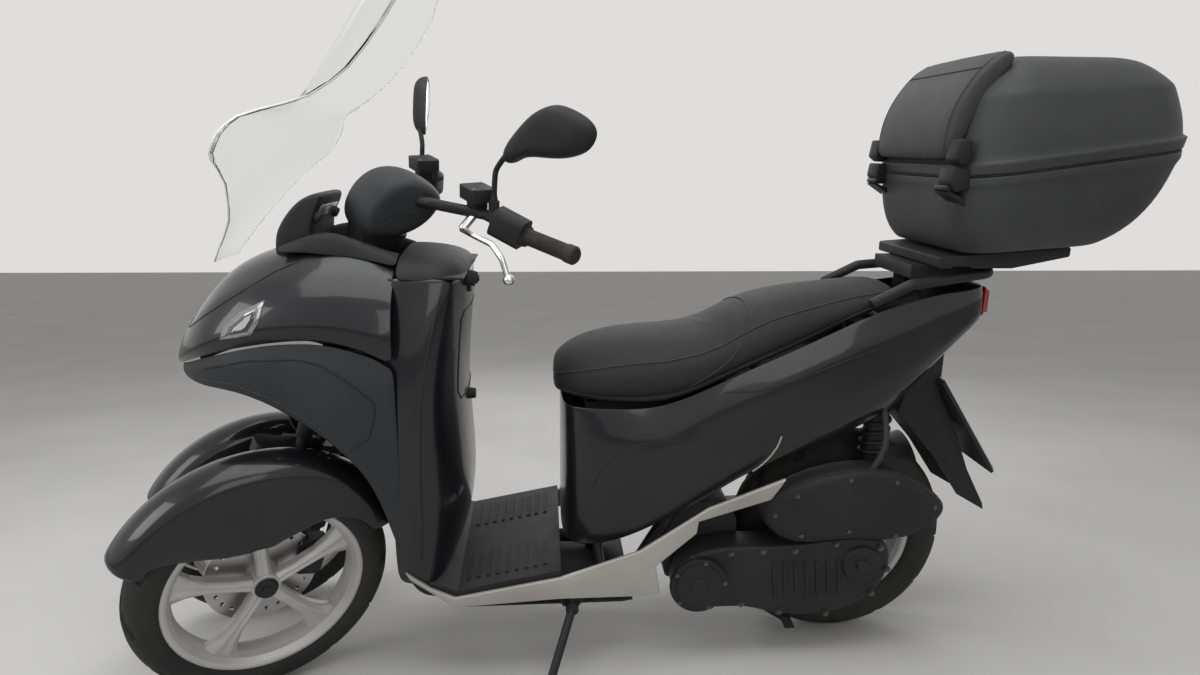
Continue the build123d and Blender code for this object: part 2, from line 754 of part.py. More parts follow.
# Tall windscreen: flat wings low down, a narrower bowed sheet above them
# height, X at the centre, half width, how far the edge lies behind the centre
SCREEN = (
    (838, 1352, 55, 2),
    (900, 1338, 64, 4),
    (955, 1306, 92, 8),
    (997, 1280, 126, 10),
    (1050, 1246, 205, 8),
    (1085, 1224, 285, 4),
    (1112, 1206, 360, 4),
    (1140, 1188, 366, 4),
    (1168, 1171, 350, 4),
    (1188, 1158, 232, 20),
    (1210, 1144, 190, 60),
    (1260, 1112, 182, 95),
    (1330, 1067, 185, 110),
    (1400, 1022, 178, 110),
    (1470, 977, 150, 90),
    (1515, 948, 100, 50),
    (1530, 938, 50, 15),
)
SCREEN_T = 5
SCREEN_STEPS = 6


def screen_band(z, x, half, sag):
    front = [
        (along(x) - sag * abs(i / SCREEN_STEPS) ** 2.2, half * i / SCREEN_STEPS)
        for i in range(-SCREEN_STEPS, SCREEN_STEPS + 1)
    ]
    back = [(px - SCREEN_T, py) for px, py in reversed(front)]
    with BuildSketch(level(z)) as band:
        with BuildLine():
            Polyline(*front, *back, close=True)
        make_face()
    return band.sketch


with BuildPart() as windscreen:
    loft([screen_band(*row) for row in SCREEN], ruled=True)
    add(cowl_form.part, mode=Mode.SUBTRACT)
windscreen.part.label = "windscreen"

# Floorboard, silver sills and belly pan
SILL_Y = 204
SILL = [
    (971, 290), (922, 252), (873, 228), (658, 266), (493, 322), (353, 414), (195, 476), (203, 462),
    (225, 430), (373, 385), (376, 359), (459, 286), (449, 223), (491, 218), (658, 218), (874, 206),
    (962, 272),
]
with BuildPart() as floorboard:
    slab([(925, 262), (868, 240), (655, 280), (655, 268), (866, 226), (930, 248)], -SILL_Y, SILL_Y)
    slab([(940, 276), (925, 262), (930, 248), (948, 270)], -190, 190)
    for s in (1, -1):
        slab([(848, 230), (868, 229), (868, 196), (848, 196)], s * 118 - 10, s * 118 + 10)
        slab([(700, 262), (720, 259), (720, 190), (700, 190)], s * 118 - 10, s * 118 + 10)
    add(frame.part, mode=Mode.SUBTRACT)
floorboard.part.label = "floorboard"
with BuildPart() as sills:
    slab(SILL, SILL_Y, SILL_Y + 10)
    slab(SILL, -SILL_Y - 10, -SILL_Y)
sills.part.label = "sills"
with BuildPart() as belly_pan:
    slab(
        [
            (872, 162), (856, 154), (520, 154), (496, 158), (496, 162), (520, 159), (855, 159),
            (870, 168),
        ],
        -132, 132,
    )
    for s in (1, -1):
        for x in (560, 800):
            slab([(x, 158), (x, 178), (x + 26, 178), (x + 26, 158)], s * 118 - 10, s * 118 + 10)
    add(frame.part, mode=Mode.SUBTRACT)
belly_pan.part.label = "belly_pan"

# Body under the seat and side covers, hollow, open at the top under the seat
BODY = [
    (655, [(0, 282), (118, 284), (128, 420), (122, 604), (0, 606)]),
    (585, [(0, 290), (150, 292), (158, 430), (138, 602), (0, 606)]),
    (450, [(0, 362), (180, 366), (184, 470), (150, 602), (0, 606)]),
    (300, [(0, 446), (176, 452), (186, 530), (158, 660), (0, 664)]),
    (120, [(0, 520), (150, 526), (172, 620), (150, 736), (0, 740)]),
    (-50, [(0, 584), (120, 590), (146, 700), (136, 800), (0, 806)]),
    (-190, [(0, 700), (92, 708), (110, 770), (104, 838), (0, 842)]),
    (-262, [(0, 770), (70, 776), (82, 810), (76, 850), (0, 852)]),
]
with BuildPart() as cover_form:
    bulk(BODY, 8)
with BuildPart() as cover_ribs:
    add(cover_form.part)
    slab([(60, 690), (60, 750), (66, 750), (66, 690)], -300, 300, Mode.INTERSECT)
with BuildPart() as lower_ribs:
    add(cover_form.part)
    slab([(380, 420), (380, 470), (386, 470), (386, 420)], -300, 300, Mode.INTERSECT)
SEAT_HINGE = (660, 608)
with BuildPart() as side_covers:
    add(cover_form.part)
    bulk(BODY, 8, 3, Mode.SUBTRACT)
    with BuildSketch(level(560)) as mouth:
        with BuildLine():
            Polyline(
                (600, -110), (560, -126), (100, -126), (-20, -100), (-20, 100), (100, 126),
                (560, 126), (600, 110), close=True,
            )
        make_face()
    extrude(mouth.sketch, amount=300, mode=Mode.SUBTRACT)
    slab(
        [(600, 250), (600, 320), (450, 392), (300, 480), (100, 556), (100, 400), (450, 250)], -140,
        140, Mode.SUBTRACT,
    )
    slab([(100, 556), (-70, 640), (-70, 480), (100, 400)], -127, 127, Mode.SUBTRACT)
    add(cover_ribs.part)
    add(lower_ribs.part)
    slab([(50, 680), (50, 760), (70, 760), (70, 680)], -98, 98, Mode.SUBTRACT)
    slab([(370, 400), (370, 480), (390, 480), (390, 400)], -108, 108, Mode.SUBTRACT)
    tube([(SEAT_HINGE[0], -30, SEAT_HINGE[1]), (SEAT_HINGE[0], 30, SEAT_HINGE[1])], 6.9)
    add(frame.part, mode=Mode.SUBTRACT)
side_covers.part.label = "side_covers"

# Bucket for luggage under the seat
with BuildPart() as storage:
    slab(
        [(600, 380), (600, 604), (280, 604), (240, 560), (240, 470), (420, 400), (470, 380)], -84,
        84, corner=12,
    )
    slab([(296, 592), (296, 603), (262, 603), (262, 592)], -96, 96)
    slab([(556, 596), (576, 596), (576, 613.9), (556, 613.4)], 70, 84)
    slab([(556, 596), (576, 596), (576, 613.9), (556, 613.4)], -84, -70)
    slab(
        [(596, 384), (596, 620), (284, 620), (244, 564), (244, 474), (422, 404), (472, 384)], -80,
        80, Mode.SUBTRACT, corner=10,
    )
    add(frame.part, mode=Mode.SUBTRACT)
storage.part.label = "storage"

# Two-step seat
SEAT = [
    (672, [(0, 616), (70, 622), (84, 650), (60, 676), (0, 682)]),
    (600, [(0, 612), (126, 616), (146, 660), (96, 722), (0, 730)]),
    (440, [(0, 612), (152, 618), (164, 668), (116, 742), (0, 750)]),
    (300, [(0, 672), (150, 678), (160, 720), (112, 766), (0, 774)]),
    (180, [(0, 722), (150, 728), (158, 770), (120, 824), (0, 830)]),
    (40, [(0, 782), (118, 786), (126, 808), (100, 842), (0, 848)]),
    (-68, [(0, 819), (104, 820), (113, 836), (88, 850), (0, 853)]),
]
with BuildPart() as seat:
    bulk(SEAT, 6)
seat.part.label = "seat"

# Tail: lamp, mudguard and number plate holder
with BuildPart() as tail_lamp:
    slab([(-262, 778), (-274, 800), (-274, 836), (-262, 846)], -66, 66)
tail_lamp.part.label = "tail_lamp"
PLATE_AT = (-252.5, 0, 534)
PLATE_OUT = (-212, 0, 139)
PLATE_SPACING = 150
PLATE_HOLE_R = 3.2
GUARD_OUTER = [
    (-120, 642), (-100, 560), (-196, 452), (-262, 358), (-330, 318),
    (-326, 334), (-278, 420), (-240, 512), (-190, 606), (-190, 700),
]
GUARD_INNER = [
    (-120, 560), (-200, 442), (-264, 353), (-314, 312),
    (-320, 328), (-268, 420), (-228, 517), (-170, 604), (-110, 640),
]
with BuildPart() as rear_mudguard:
    slab(GUARD_OUTER, -62, 62)
    slab(GUARD_INNER, -58, 58, Mode.SUBTRACT)
    slab([(-183, 640), (-322, 428), (-316, 424), (-177, 636)], -95, 95)
    with BuildSketch(Plane(origin=PLATE_AT, x_dir=(0, 1, 0), z_dir=PLATE_OUT)) as screws:
        with Locations((-PLATE_SPACING / 2, 0), (PLATE_SPACING / 2, 0)):
            Circle(PLATE_HOLE_R)
    extrude(screws.sketch, amount=-20, mode=Mode.SUBTRACT)
rear_mudguard.part.label = "rear_mudguard"

# Carrier behind the seat and the plate that takes the box
with BuildPart() as carrier:
    for s in (1, -1):
        tube(
            [
                (20, s * 138, 822), (-60, s * 136, 862), (-240, s * 110, 882), (-258, s * 40, 884),
                (-258, 0, 884),
            ],
            11, 30,
        )
    slab([(-80, 868), (-80, 896), (-250, 896), (-250, 884)], -90, 90)
    for s in (1, -1):
        tube([(-130, s * 66, 884), (-130, s * 66, 800)], 12)
    add(cover_form.part, mode=Mode.SUBTRACT)
carrier.part.label = "carrier"
BOX_FLOOR = 937
BOX_FLOOR_TILT = 4.4
PLATE_BLOCK = [(-110, 896.2), (-266, 896.2), (-386, 920), (-386, 940.2), (-110, 919)]
with BuildPart() as box_plate:
    slab(PLATE_BLOCK, -142, 142)
    fillet(box_plate.edges().filter_by(Axis.Y), 5)
    for x in (-160, -320):
        slab(
            [(x - 20, 880), (x - 20, 900), (x + 20, 900), (x + 20, 880)], -150, -120, Mode.SUBTRACT,
        )
        slab([(x - 20, 880), (x - 20, 900), (x + 20, 900), (x + 20, 880)], 120, 150, Mode.SUBTRACT)
box_plate.part.label = "box_plate"

# Top box: tray and lid, both hollow, hinged on the front edge
BOX_WALL = 4
# Height at the middle, tilt, front, rear, half width, corner radius
BOX_MIDDLE = -340
BOX = [
    (BOX_FLOOR, BOX_FLOOR_TILT, -152, -428, 172, 55),
    (975, 5, -128, -492, 212, 78),
    (1030, 7, -114, -532, 236, 96),
    (1110, 7.9, -107, -556, 248, 106),
]
LID = [
    (1110.6, 7.9, -107, -556, 248, 106),
    (1134, 7.9, -105, -560, 252, 108),
    (1142, 7.9, -112, -550, 243, 104),
    (1236, 4, -134, -532, 222, 92),
    (1286, 1, -176, -496, 176, 72),
    (1308, 0, -216, -460, 118, 52),
]


def box_ring(z, tilt, front, rear, half, corner, inset, rise=0):
    swing = math.radians(tilt)
    plane = Plane(
        origin=(BOX_MIDDLE, 0, z + rise),
        x_dir=(math.cos(swing), 0, -math.sin(swing)),
        z_dir=(math.sin(swing), 0, math.cos(swing)),
    )
    with BuildSketch(plane) as ring:
        with Locations(((front + rear) / 2 - BOX_MIDDLE, 0)):
            RectangleRounded(front - rear - 2 * inset, 2 * half - 2 * inset, corner - inset)
    return ring.sketch


def box_loft(rows, inset=0, rise_first=0, rise_last=0, mode=Mode.ADD):
    rings = []
    for i, row in enumerate(rows):
        rise = rise_first if i == 0 else rise_last if i == len(rows) - 1 else 0
        rings.append(box_ring(*row, inset, rise))
    loft(rings, ruled=True, mode=mode)


with BuildPart() as box_tray:
    box_loft(BOX)
    box_loft(BOX, BOX_WALL, BOX_WALL, 1, Mode.SUBTRACT)
box_tray.part.label = "box_tray"
with BuildPart() as box_lid:
    box_loft(LID)
    box_loft(LID, BOX_WALL, -1, -BOX_WALL, Mode.SUBTRACT)
box_lid.part.label = "box_lid"
HINGE_X = -90
HINGE_Z = 1058
HINGE_Y = 160
with BuildPart() as box_hinges:
    for s in (1, -1):
        tube([(HINGE_X, s * HINGE_Y - 24, HINGE_Z), (HINGE_X, s * HINGE_Y + 24, HINGE_Z)], 6)
        arm = [(0, -6), (-40, -22), (-40, -38), (6, -8)]
        slab([(HINGE_X + x, HINGE_Z + z) for x, z in arm], s * HINGE_Y - 24, s * HINGE_Y + 24)
    box_loft(BOX, mode=Mode.SUBTRACT)
box_hinges.part.label = "box_hinges"
BACK_PAD = [
    (-112, 1104), (-92, 1098), (-84, 1130), (-92, 1190), (-122, 1254), (-160, 1300), (-188, 1319),
    (-211, 1318), (-211, 1296), (-170, 1230), (-128, 1150),
]
with BuildPart() as back_pad:
    slab(BACK_PAD, -165, 165)
    box_loft(LID, mode=Mode.SUBTRACT)
back_pad.part.label = "back_pad"

# Swinging engine unit
CENTRE_PIVOT = (REAR_R - 1, 154)
ENGINE_REAR = REAR_R + 11
with BuildPart() as engine:
    slab(
        [
            (ENGINE_REAR, 190), (420, 190), (430, 300), (380, 372),
            (ENGINE_REAR + 28, 372), (ENGINE_REAR, 330),
        ],
        -70, 95, corner=10,
    )
    for s in (1, -1):
        lug = [(6, 200), (-30, 160), (-22, 140), (0, 140), (38, 200)]
        slab([(ENGINE_REAR + x, z) for x, z in lug], s * 66 - 6, s * 66 + 6)
    slab(
        [(300, 206), (290, 290), (20, 300), (-30, 280), (-30, 220), (30, 200)], -95, -70.0,
        corner=10,
    )
    tube(
        [(CENTRE_PIVOT[0], -90, CENTRE_PIVOT[1]), (CENTRE_PIVOT[0], 90, CENTRE_PIVOT[1])],
        10 + BORE_FIT, mode=Mode.SUBTRACT,
    )
    tube([(0, -58, REAR_R), (0, -96, REAR_R)], AXLE_R)
    for s in (1, -1):
        slab([(400, 300), (444, 312), (462, 330), (448, 356), (392, 356)], s * 56 - 6, s * 56 + 6)
    add(frame.part, mode=Mode.SUBTRACT)
engine.part.label = "engine"
with BuildPart() as drive_case:
    slab(
        [
            (412, 200), (380, 290), (280, 300), (150, 300), (30, 316), (-60, 300), (-74, 240),
            (-40, 170), (80, 120), (180, 128), (260, 150), (380, 150),
        ],
        95, 168, corner=24,
    )
    tube([(359, 160, 217), (359, 182, 217)], 66)
    tube([(0, 62, REAR_R), (0, 95, REAR_R)], 50)
    tube([(0, 62, REAR_R), (0, -57.9, REAR_R)], AXLE_R)
drive_case.part.label = "drive_case"
with BuildPart() as air_box:
    slab(
        [
            (232, 372), (176, 446), (56, 482), (-60, 474), (-172, 398), (-176, 366), (-78, 306),
            (30, 322), (150, 306), (200, 320),
        ],
        126, 188, corner=14,
    )
    slab([(330, 372), (240, 372), (180, 400), (200, 420), (310, 394)], 60, 130, corner=4)
air_box.part.label = "air_box"
with BuildPart() as muffler:
    tube([(350, -70, 230), (350, -150, 230), (250, -190, 190), (40, -190, 262)], 18, 30)
    tube([(60, -190, 254), (-260, -190, 360)], 60)
    slab([(60, 266), (60, 296), (-20, 284), (-20, 266)], -140, -95)
muffler.part.label = "muffler"
with BuildPart() as rear_shocks:
    for s in (1, -1):
        tube([(-26, s * 97, 276), (-30, s * 97, 440)], 12)
        tube([(-30, s * 97, 440), (-36, s * 97, 600)], 25)
        tube([(-36, s * 97, 600), (-38, s * 94, 756)], 11)
    add(frame.part, mode=Mode.SUBTRACT)
    add(drive_case.part, mode=Mode.SUBTRACT)
    add(engine.part, mode=Mode.SUBTRACT)
    add(muffler.part, mode=Mode.SUBTRACT)
rear_shocks.part.label = "rear_shocks"

# Stands
STAND_PIVOT = (632, 178, 180)
STAND_FOOT = (690, 300)


def floor_point(x, y, z=0):
    return (x, y * COS_L - (z - LIFT) * SIN_L, y * SIN_L + (z - LIFT) * COS_L)


FLOOR_UP = (0, -SIN_L, COS_L)
with BuildPart() as side_stand:
    px, py, pz = STAND_PIVOT
    tube([(px, py + 8, pz), (px + 4, py + 20, pz - 10), floor_point(*STAND_FOOT, 8)], 9, 10)
    with BuildSketch(Plane(origin=floor_point(*STAND_FOOT), z_dir=FLOOR_UP)) as pad:
        SlotOverall(56, 40)
    extrude(pad.sketch, amount=7)
    tube([(px, py - 14, pz), (px, py + 18, pz)], 14)
side_stand.part.label = "side_stand"
with BuildPart() as centre_stand:
    cx, cz = CENTRE_PIVOT
    tube([(cx, -92, cz), (cx, 92, cz)], 10)
    for s in (1, -1):
        tube([(cx, s * 84, cz), (cx - 12, s * 82, cz - 20), (130, s * 80, 62)], 9, 12)
        slab([(146, 78), (118, 66), (108, 44), (132, 44)], s * 80 - 14, s * 80 + 14)
    tube([(cx - 14, -80, cz - 30), (cx - 14, 80, cz - 30)], 8)
centre_stand.part.label = "centre_stand"

# Everything together, leaned on to the stand and set on the floor
steer_line = Axis(raked(0), UP_LINE)
nodes = {}
for part in (
    rear_tyre, rear_rim, rear_disc, frame, tilt_arms, nose_cowl, arch_panels, leg_shield, dash,
    meter, windscreen, floorboard, sills, belly_pan, side_covers, storage, seat, tail_lamp,
    rear_mudguard, carrier, box_plate, box_tray, box_lid, box_hinges, back_pad,
    engine, drive_case, air_box, muffler, rear_shocks, side_stand, centre_stand,
):
    nodes[part.part.label] = part.part
for part in (steering_column, bar_cover, grips, switch_housings, brake_levers, mirrors):
    nodes[part.part.label] = part.part.rotate(steer_line, STEER)
for side, word in ((1, "left"), (-1, "right")):
    king_line = Axis((KING_FOOT, side * KING_Y, 0), UP_LINE)
    carry = Location(
        (-SIN_C * RISE[side], side * (ARM_Y - KING_Y), COS_C * RISE[side])
    )
    for name, found in (
        ("fork", forks), ("slider", sliders), ("mudguard", fenders),
        ("front_tyre", front_tyres), ("front_rim", front_rims), ("front_disc", front_discs),
    ):
        nodes[name + "_" + word] = found[side].rotate(king_line, STEER).moved(carry)
    nodes["tie_rod_" + word] = tie_rods[side]

nodes["side_pipes"] = Compound(children=[side_pipes[1], side_pipes[-1]])
leaned = Location((0, 0, LIFT), (-LEAN, 0, 0))
placed = {name: solid.moved(leaned) for name, solid in nodes.items()}
boxes = [solid.bounding_box() for solid in placed.values()]
low = Vector(min(b.min.X for b in boxes), min(b.min.Y for b in boxes), min(b.min.Z for b in boxes))
high = Vector(max(b.max.X for b in boxes), max(b.max.Y for b in boxes), max(b.max.Z for b in boxes))
SHIFT = Vector(-(low.X + high.X) / 2, -(low.Y + high.Y) / 2, -low.Z)
os.makedirs("parts", exist_ok=True)
for name, solid in placed.items():
    out = solid.moved(Location(tuple(SHIFT)))
    out.label = name
    export_step(out, "parts/" + name + ".step")
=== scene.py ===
import json
import math

import bmesh
import bpy
from mathutils import Matrix, Vector
from mathutils.bvhtree import BVHTree
from mathutils.kdtree import KDTree

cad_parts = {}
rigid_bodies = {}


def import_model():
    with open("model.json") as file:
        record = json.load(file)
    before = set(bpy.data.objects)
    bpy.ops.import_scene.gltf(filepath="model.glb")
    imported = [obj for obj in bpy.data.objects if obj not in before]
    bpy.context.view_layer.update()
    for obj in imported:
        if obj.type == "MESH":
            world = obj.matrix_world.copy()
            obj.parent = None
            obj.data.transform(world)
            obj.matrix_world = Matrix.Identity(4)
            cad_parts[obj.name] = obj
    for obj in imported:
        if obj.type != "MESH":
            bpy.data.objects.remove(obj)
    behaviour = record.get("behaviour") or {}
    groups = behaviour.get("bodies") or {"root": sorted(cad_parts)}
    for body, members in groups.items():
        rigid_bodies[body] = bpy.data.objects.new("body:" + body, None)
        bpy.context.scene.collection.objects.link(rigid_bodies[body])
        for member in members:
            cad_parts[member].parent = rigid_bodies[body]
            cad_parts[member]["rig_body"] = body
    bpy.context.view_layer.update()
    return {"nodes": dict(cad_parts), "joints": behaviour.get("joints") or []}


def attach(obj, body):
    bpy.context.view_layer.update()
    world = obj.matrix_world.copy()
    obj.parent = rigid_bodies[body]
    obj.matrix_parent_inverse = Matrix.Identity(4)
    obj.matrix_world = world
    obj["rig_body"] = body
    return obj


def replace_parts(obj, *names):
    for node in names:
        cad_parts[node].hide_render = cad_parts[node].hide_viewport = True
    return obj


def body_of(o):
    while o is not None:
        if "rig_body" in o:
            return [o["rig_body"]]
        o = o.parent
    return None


bl_info = {
    "name": "Leaning scooter dressing",
    "version": (1, 0, 0),
    "blender": (4, 5, 0),
    "location": "3D View > Sidebar > Scooter",
    "description": "Shells, seat, tyres, small parts and finishes of a leaning three-wheel scooter",
    "category": "Object",
}

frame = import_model()
NODES = frame["nodes"]
JOINT = {joint["name"]: joint for joint in frame["joints"]}

# Places. Pieces are shaped upright in millimetres, then leaned onto the stand.
LEAN = 7.5
STEER = 31
REAR_R = 251
HUB = (1310, 192.5, 250)
KING_FOOT = 1378
# The column's rake in degrees, and its direction in X and Z
RAKE = 20
COLUMN_WAY = (-0.342, 0.9397)
# Middle of the crank cover in X and Z
CRANK = (359, 217)
SIDES = (("left", 1), ("right", -1))
# How far a point is moved back before it is laid on a surface
REACH = 400


def turn_about(point, axis, degrees):
    there = Matrix.Translation(Vector(point))
    return there @ Matrix.Rotation(math.radians(degrees), 4, Vector(axis)) @ there.inverted()


UPRIGHT = Matrix.Rotation(math.radians(-LEAN), 4, "X") @ Matrix.Scale(0.001, 4)
axle = Vector(JOINT["rear_wheel_spin"]["pos_m"])
BODY = Matrix.Translation(axle - UPRIGHT @ Vector((0, 0, REAR_R))) @ UPRIGHT
BAR = turn_about(JOINT["steering"]["pos_m"], JOINT["steering"]["axis"], STEER) @ BODY
REAR_WHEEL = BODY @ Matrix.Translation((0, 0, REAR_R))
KNUCKLE = {}
FRONT_WHEEL = {}
for word, sign in SIDES:
    pin = JOINT[f"kingpin_{word}"]
    hub = Vector(JOINT[f"front_wheel_spin_{word}"]["pos_m"])
    swung = turn_about(pin["pos_m"], pin["axis"], STEER) @ BODY
    straight = Vector((HUB[0], sign * HUB[1], HUB[2]))
    KNUCKLE[word] = swung @ Matrix.Translation(swung.inverted() @ hub - straight)
    FRONT_WHEEL[word] = KNUCKLE[word] @ Matrix.Translation(straight)


FINISH = {}
DULL = {"specular": 0.28}


# Making and settling meshes
def mesh_of(name, bm):
    mesh = bpy.data.meshes.new(name)
    bm.to_mesh(mesh)
    bm.free()
    return mesh


def linked(name, mesh, finish):
    """An object of a mesh with one finish, or with several in order."""
    for one in finish if isinstance(finish, tuple) else (finish,):
        mesh.materials.append(FINISH[one])
    piece = bpy.data.objects.new(name, mesh)
    bpy.context.scene.collection.objects.link(piece)
    return piece


def soften(piece, width, angle):
    edge = piece.modifiers.new("edge", "BEVEL")
    edge.width = width * 0.001
    edge.segments = 3
    edge.limit_method = "ANGLE"
    edge.angle_limit = math.radians(angle)
    return edge


def ride(piece, body):
    """Put a piece on its body."""
    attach(piece, body)
    return piece


def settle(bm, name, finish, place=BODY, body="chassis", smooth=True, thick=0, level=0, bevel=0,
           normals=True, doubles=0.01):
    """Turn a shape in millimetres into a piece that rides on a body."""
    bmesh.ops.remove_doubles(bm, verts=bm.verts, dist=doubles)
    if normals:
        bmesh.ops.recalc_face_normals(bm, faces=bm.faces)
    bm.transform(place)
    for face in bm.faces:
        face.smooth = smooth
    piece = linked(name, mesh_of(name, bm), finish)
    if thick:
        wall = piece.modifiers.new("wall", "SOLIDIFY")
        wall.thickness = thick * 0.001
        wall.offset = -1
        wall.use_even_offset = True
    if bevel:
        soften(piece, bevel, 35)
    if level:
        round_off = piece.modifiers.new("round", "SUBSURF")
        round_off.levels = level
        round_off.render_levels = level
    return ride(piece, body)


def chain(bm, points, closed=False):
    corners = [bm.verts.new(point) for point in points]
    edges = [bm.edges.new(pair) for pair in zip(corners, corners[1:])]
    if closed:
        edges.append(bm.edges.new((corners[-1], corners[0])))
    return edges


def skin(bm, rows, closed=False, cap=False):
    chains = [chain(bm, row, closed) for row in rows]
    for near, far in zip(chains, chains[1:]):
        bmesh.ops.bridge_loops(bm, edges=near + far)
    if cap:
        for end in (chains[0], chains[-1]):
            bmesh.ops.contextual_create(bm, geom=end)
    return chains


def crease_chain(bm, edges, amount):
    layer = bm.edges.layers.float.get("crease_edge") or bm.edges.layers.float.new("crease_edge")
    for edge in edges:
        edge[layer] = amount


def slab(bm, outline, low, high, bevel=0, segments=2):
    edges = chain(bm, [(x, low, z) for x, z in outline], True)
    face = bmesh.ops.contextual_create(bm, geom=edges)["faces"][0]
    pulled = bmesh.ops.extrude_face_region(bm, geom=[face])["geom"]
    corners = [item for item in pulled if isinstance(item, bmesh.types.BMVert)]
    bmesh.ops.translate(bm, verts=corners, vec=(0, high - low, 0))
    if bevel:
        every = set(edge for corner in corners for edge in corner.link_edges)
        for corner in corners:
            for edge in corner.link_edges:
                every.update(edge.other_vert(corner).link_edges)
        bmesh.ops.bevel(
            bm, geom=list(every), offset=bevel, segments=segments, profile=0.5, affect="EDGES", material=-1
        )


def rod(bm, start, end, radius, sides=16, tip=None):
    start = Vector(start)
    line = Vector(end) - start
    place = Matrix.Translation(start + line / 2) @ line.to_track_quat("Z", "Y").to_matrix().to_4x4()
    return bmesh.ops.create_cone(
        bm,
        cap_ends=True,
        segments=sides,
        radius1=radius,
        radius2=radius if tip is None else tip,
        depth=line.length,
        matrix=place,
    )["verts"]


def bolt(bm, place, out, radius=5, height=4, sides=6):
    out = Vector(out).normalized()
    place = Vector(place)
    rod(bm, place, place + out * height * 0.35, radius * 1.35, 16)
    rod(bm, place + out * height * 0.3, place + out * height, radius, sides, radius * 0.92)


def spin(bm, steps, axis=(0, 1, 0), angle=math.tau):
    """Turn what is drawn so far round Y; a full turn closes on itself."""
    bmesh.ops.spin(bm, geom=bm.verts[:] + bm.edges[:], cent=(0, 0, 0), axis=axis, angle=angle, steps=steps,
                   use_merge=angle == math.tau)


def pipe(name, points, radius, finish, place=BODY, body="chassis", order=3, sides=3):
    """A round cord along points, made from a curve."""
    line = bpy.data.curves.new(name, "CURVE")
    line.dimensions = "3D"
    spline = line.splines.new("NURBS")
    spline.points.add(len(points) - 1)
    for knot, point in zip(spline.points, points):
        knot.co = (*(place @ Vector(point)), 1)
    spline.order_u = order
    spline.use_endpoint_u = True
    line.resolution_u = 6
    line.bevel_depth = radius * 0.001
    line.bevel_resolution = sides
    line.use_fill_caps = True
    rough = bpy.data.objects.new(name + "_line", line)
    bpy.context.scene.collection.objects.link(rough)
    bpy.context.view_layer.update()
    mesh = bpy.data.meshes.new_from_object(rough.evaluated_get(bpy.context.evaluated_depsgraph_get()))
    bpy.data.objects.remove(rough)
    mesh.name = name
    for face in mesh.polygons:
        face.use_smooth = True
    mesh.materials.clear()
    return ride(linked(name, mesh, finish), body)


# Finishes
def wired(tree, kind, source=None, **values):
    """A shader node with its named inputs set, and fed with a vector if one is given."""
    node = tree.nodes.new("ShaderNode" + kind)
    for key, value in values.items():
        node.inputs[key.replace("_", " ")].default_value = value
    if source is not None:
        tree.links.new(source, node.inputs["Vector"])
    return node


def shader_of(name, **values):
    """A new material: itself, its nodes, its shader and its Object coordinates."""
    made = bpy.data.materials.new(name)
    made.use_nodes = True
    tree = made.node_tree
    shader = tree.nodes["Principled BSDF"]
    for key, value in values.items():
        shader.inputs[key.replace("_", " ")].default_value = value
    return made, tree, shader, tree.nodes.new("ShaderNodeTexCoord").outputs["Object"]


def finish_of(name, colour, rough, rough_to, patch, grain=0, grain_scale=900, more=None):
    """A surface with patches of a second tint, uneven roughness and a fine grain."""
    more = more or {}
    made, tree, shader, place = shader_of(
        name, Base_Color=(*colour, 1), Roughness=rough, Metallic=more.get("metal", 0),
        Specular_IOR_Level=more.get("specular", 0.5), Coat_Weight=more.get("coat", 0),
        Coat_Roughness=more.get("coat_rough", 0.08))
    cloud = wired(tree, "TexNoise", place, Scale=patch, Detail=6)
    tint = tree.nodes.new("ShaderNodeValToRGB")
    other = more.get("other") or [min(1, part * 1.35 + 0.004) for part in colour]
    for stop, spot, shade in zip(tint.color_ramp.elements, (0.325, 0.675), (colour, other)):
        stop.position = spot
        stop.color = (*shade, 1)
    tree.links.new(cloud.outputs["Fac"], tint.inputs["Fac"])
    tree.links.new(tint.outputs["Color"], shader.inputs["Base Color"])
    smear = wired(tree, "MapRange", To_Min=rough, To_Max=rough_to)
    dust = wired(tree, "TexNoise", place, Scale=patch * 7, Detail=8)
    tree.links.new(dust.outputs["Fac"], smear.inputs["Value"])
    tree.links.new(smear.outputs["Result"], shader.inputs["Roughness"])
    if grain:
        if more.get("cells"):
            height = wired(tree, "TexVoronoi", place, Scale=grain_scale).outputs["Distance"]
        else:
            height = wired(tree, "TexNoise", place, Scale=grain_scale, Detail=3).outputs["Fac"]
        bump = wired(tree, "Bump", Strength=grain, Distance=0.0006)
        tree.links.new(height, bump.inputs["Height"])
        tree.links.new(bump.outputs["Normal"], shader.inputs["Normal"])
    return made


def clear_finish(name, colour, rough, rough_to):
    """Clear plastic with faint haze."""
    made, tree, shader, place = shader_of(
        name, Base_Color=(*colour, 1), Transmission_Weight=1, IOR=1.04)
    haze = wired(tree, "TexNoise", place, Scale=40, Detail=9)
    spread = wired(tree, "MapRange", From_Min=0.45, From_Max=0.8, To_Min=rough, To_Max=rough_to)
    tree.links.new(haze.outputs["Fac"], spread.inputs["Value"])
    tree.links.new(spread.outputs["Result"], shader.inputs["Roughness"])
    return made


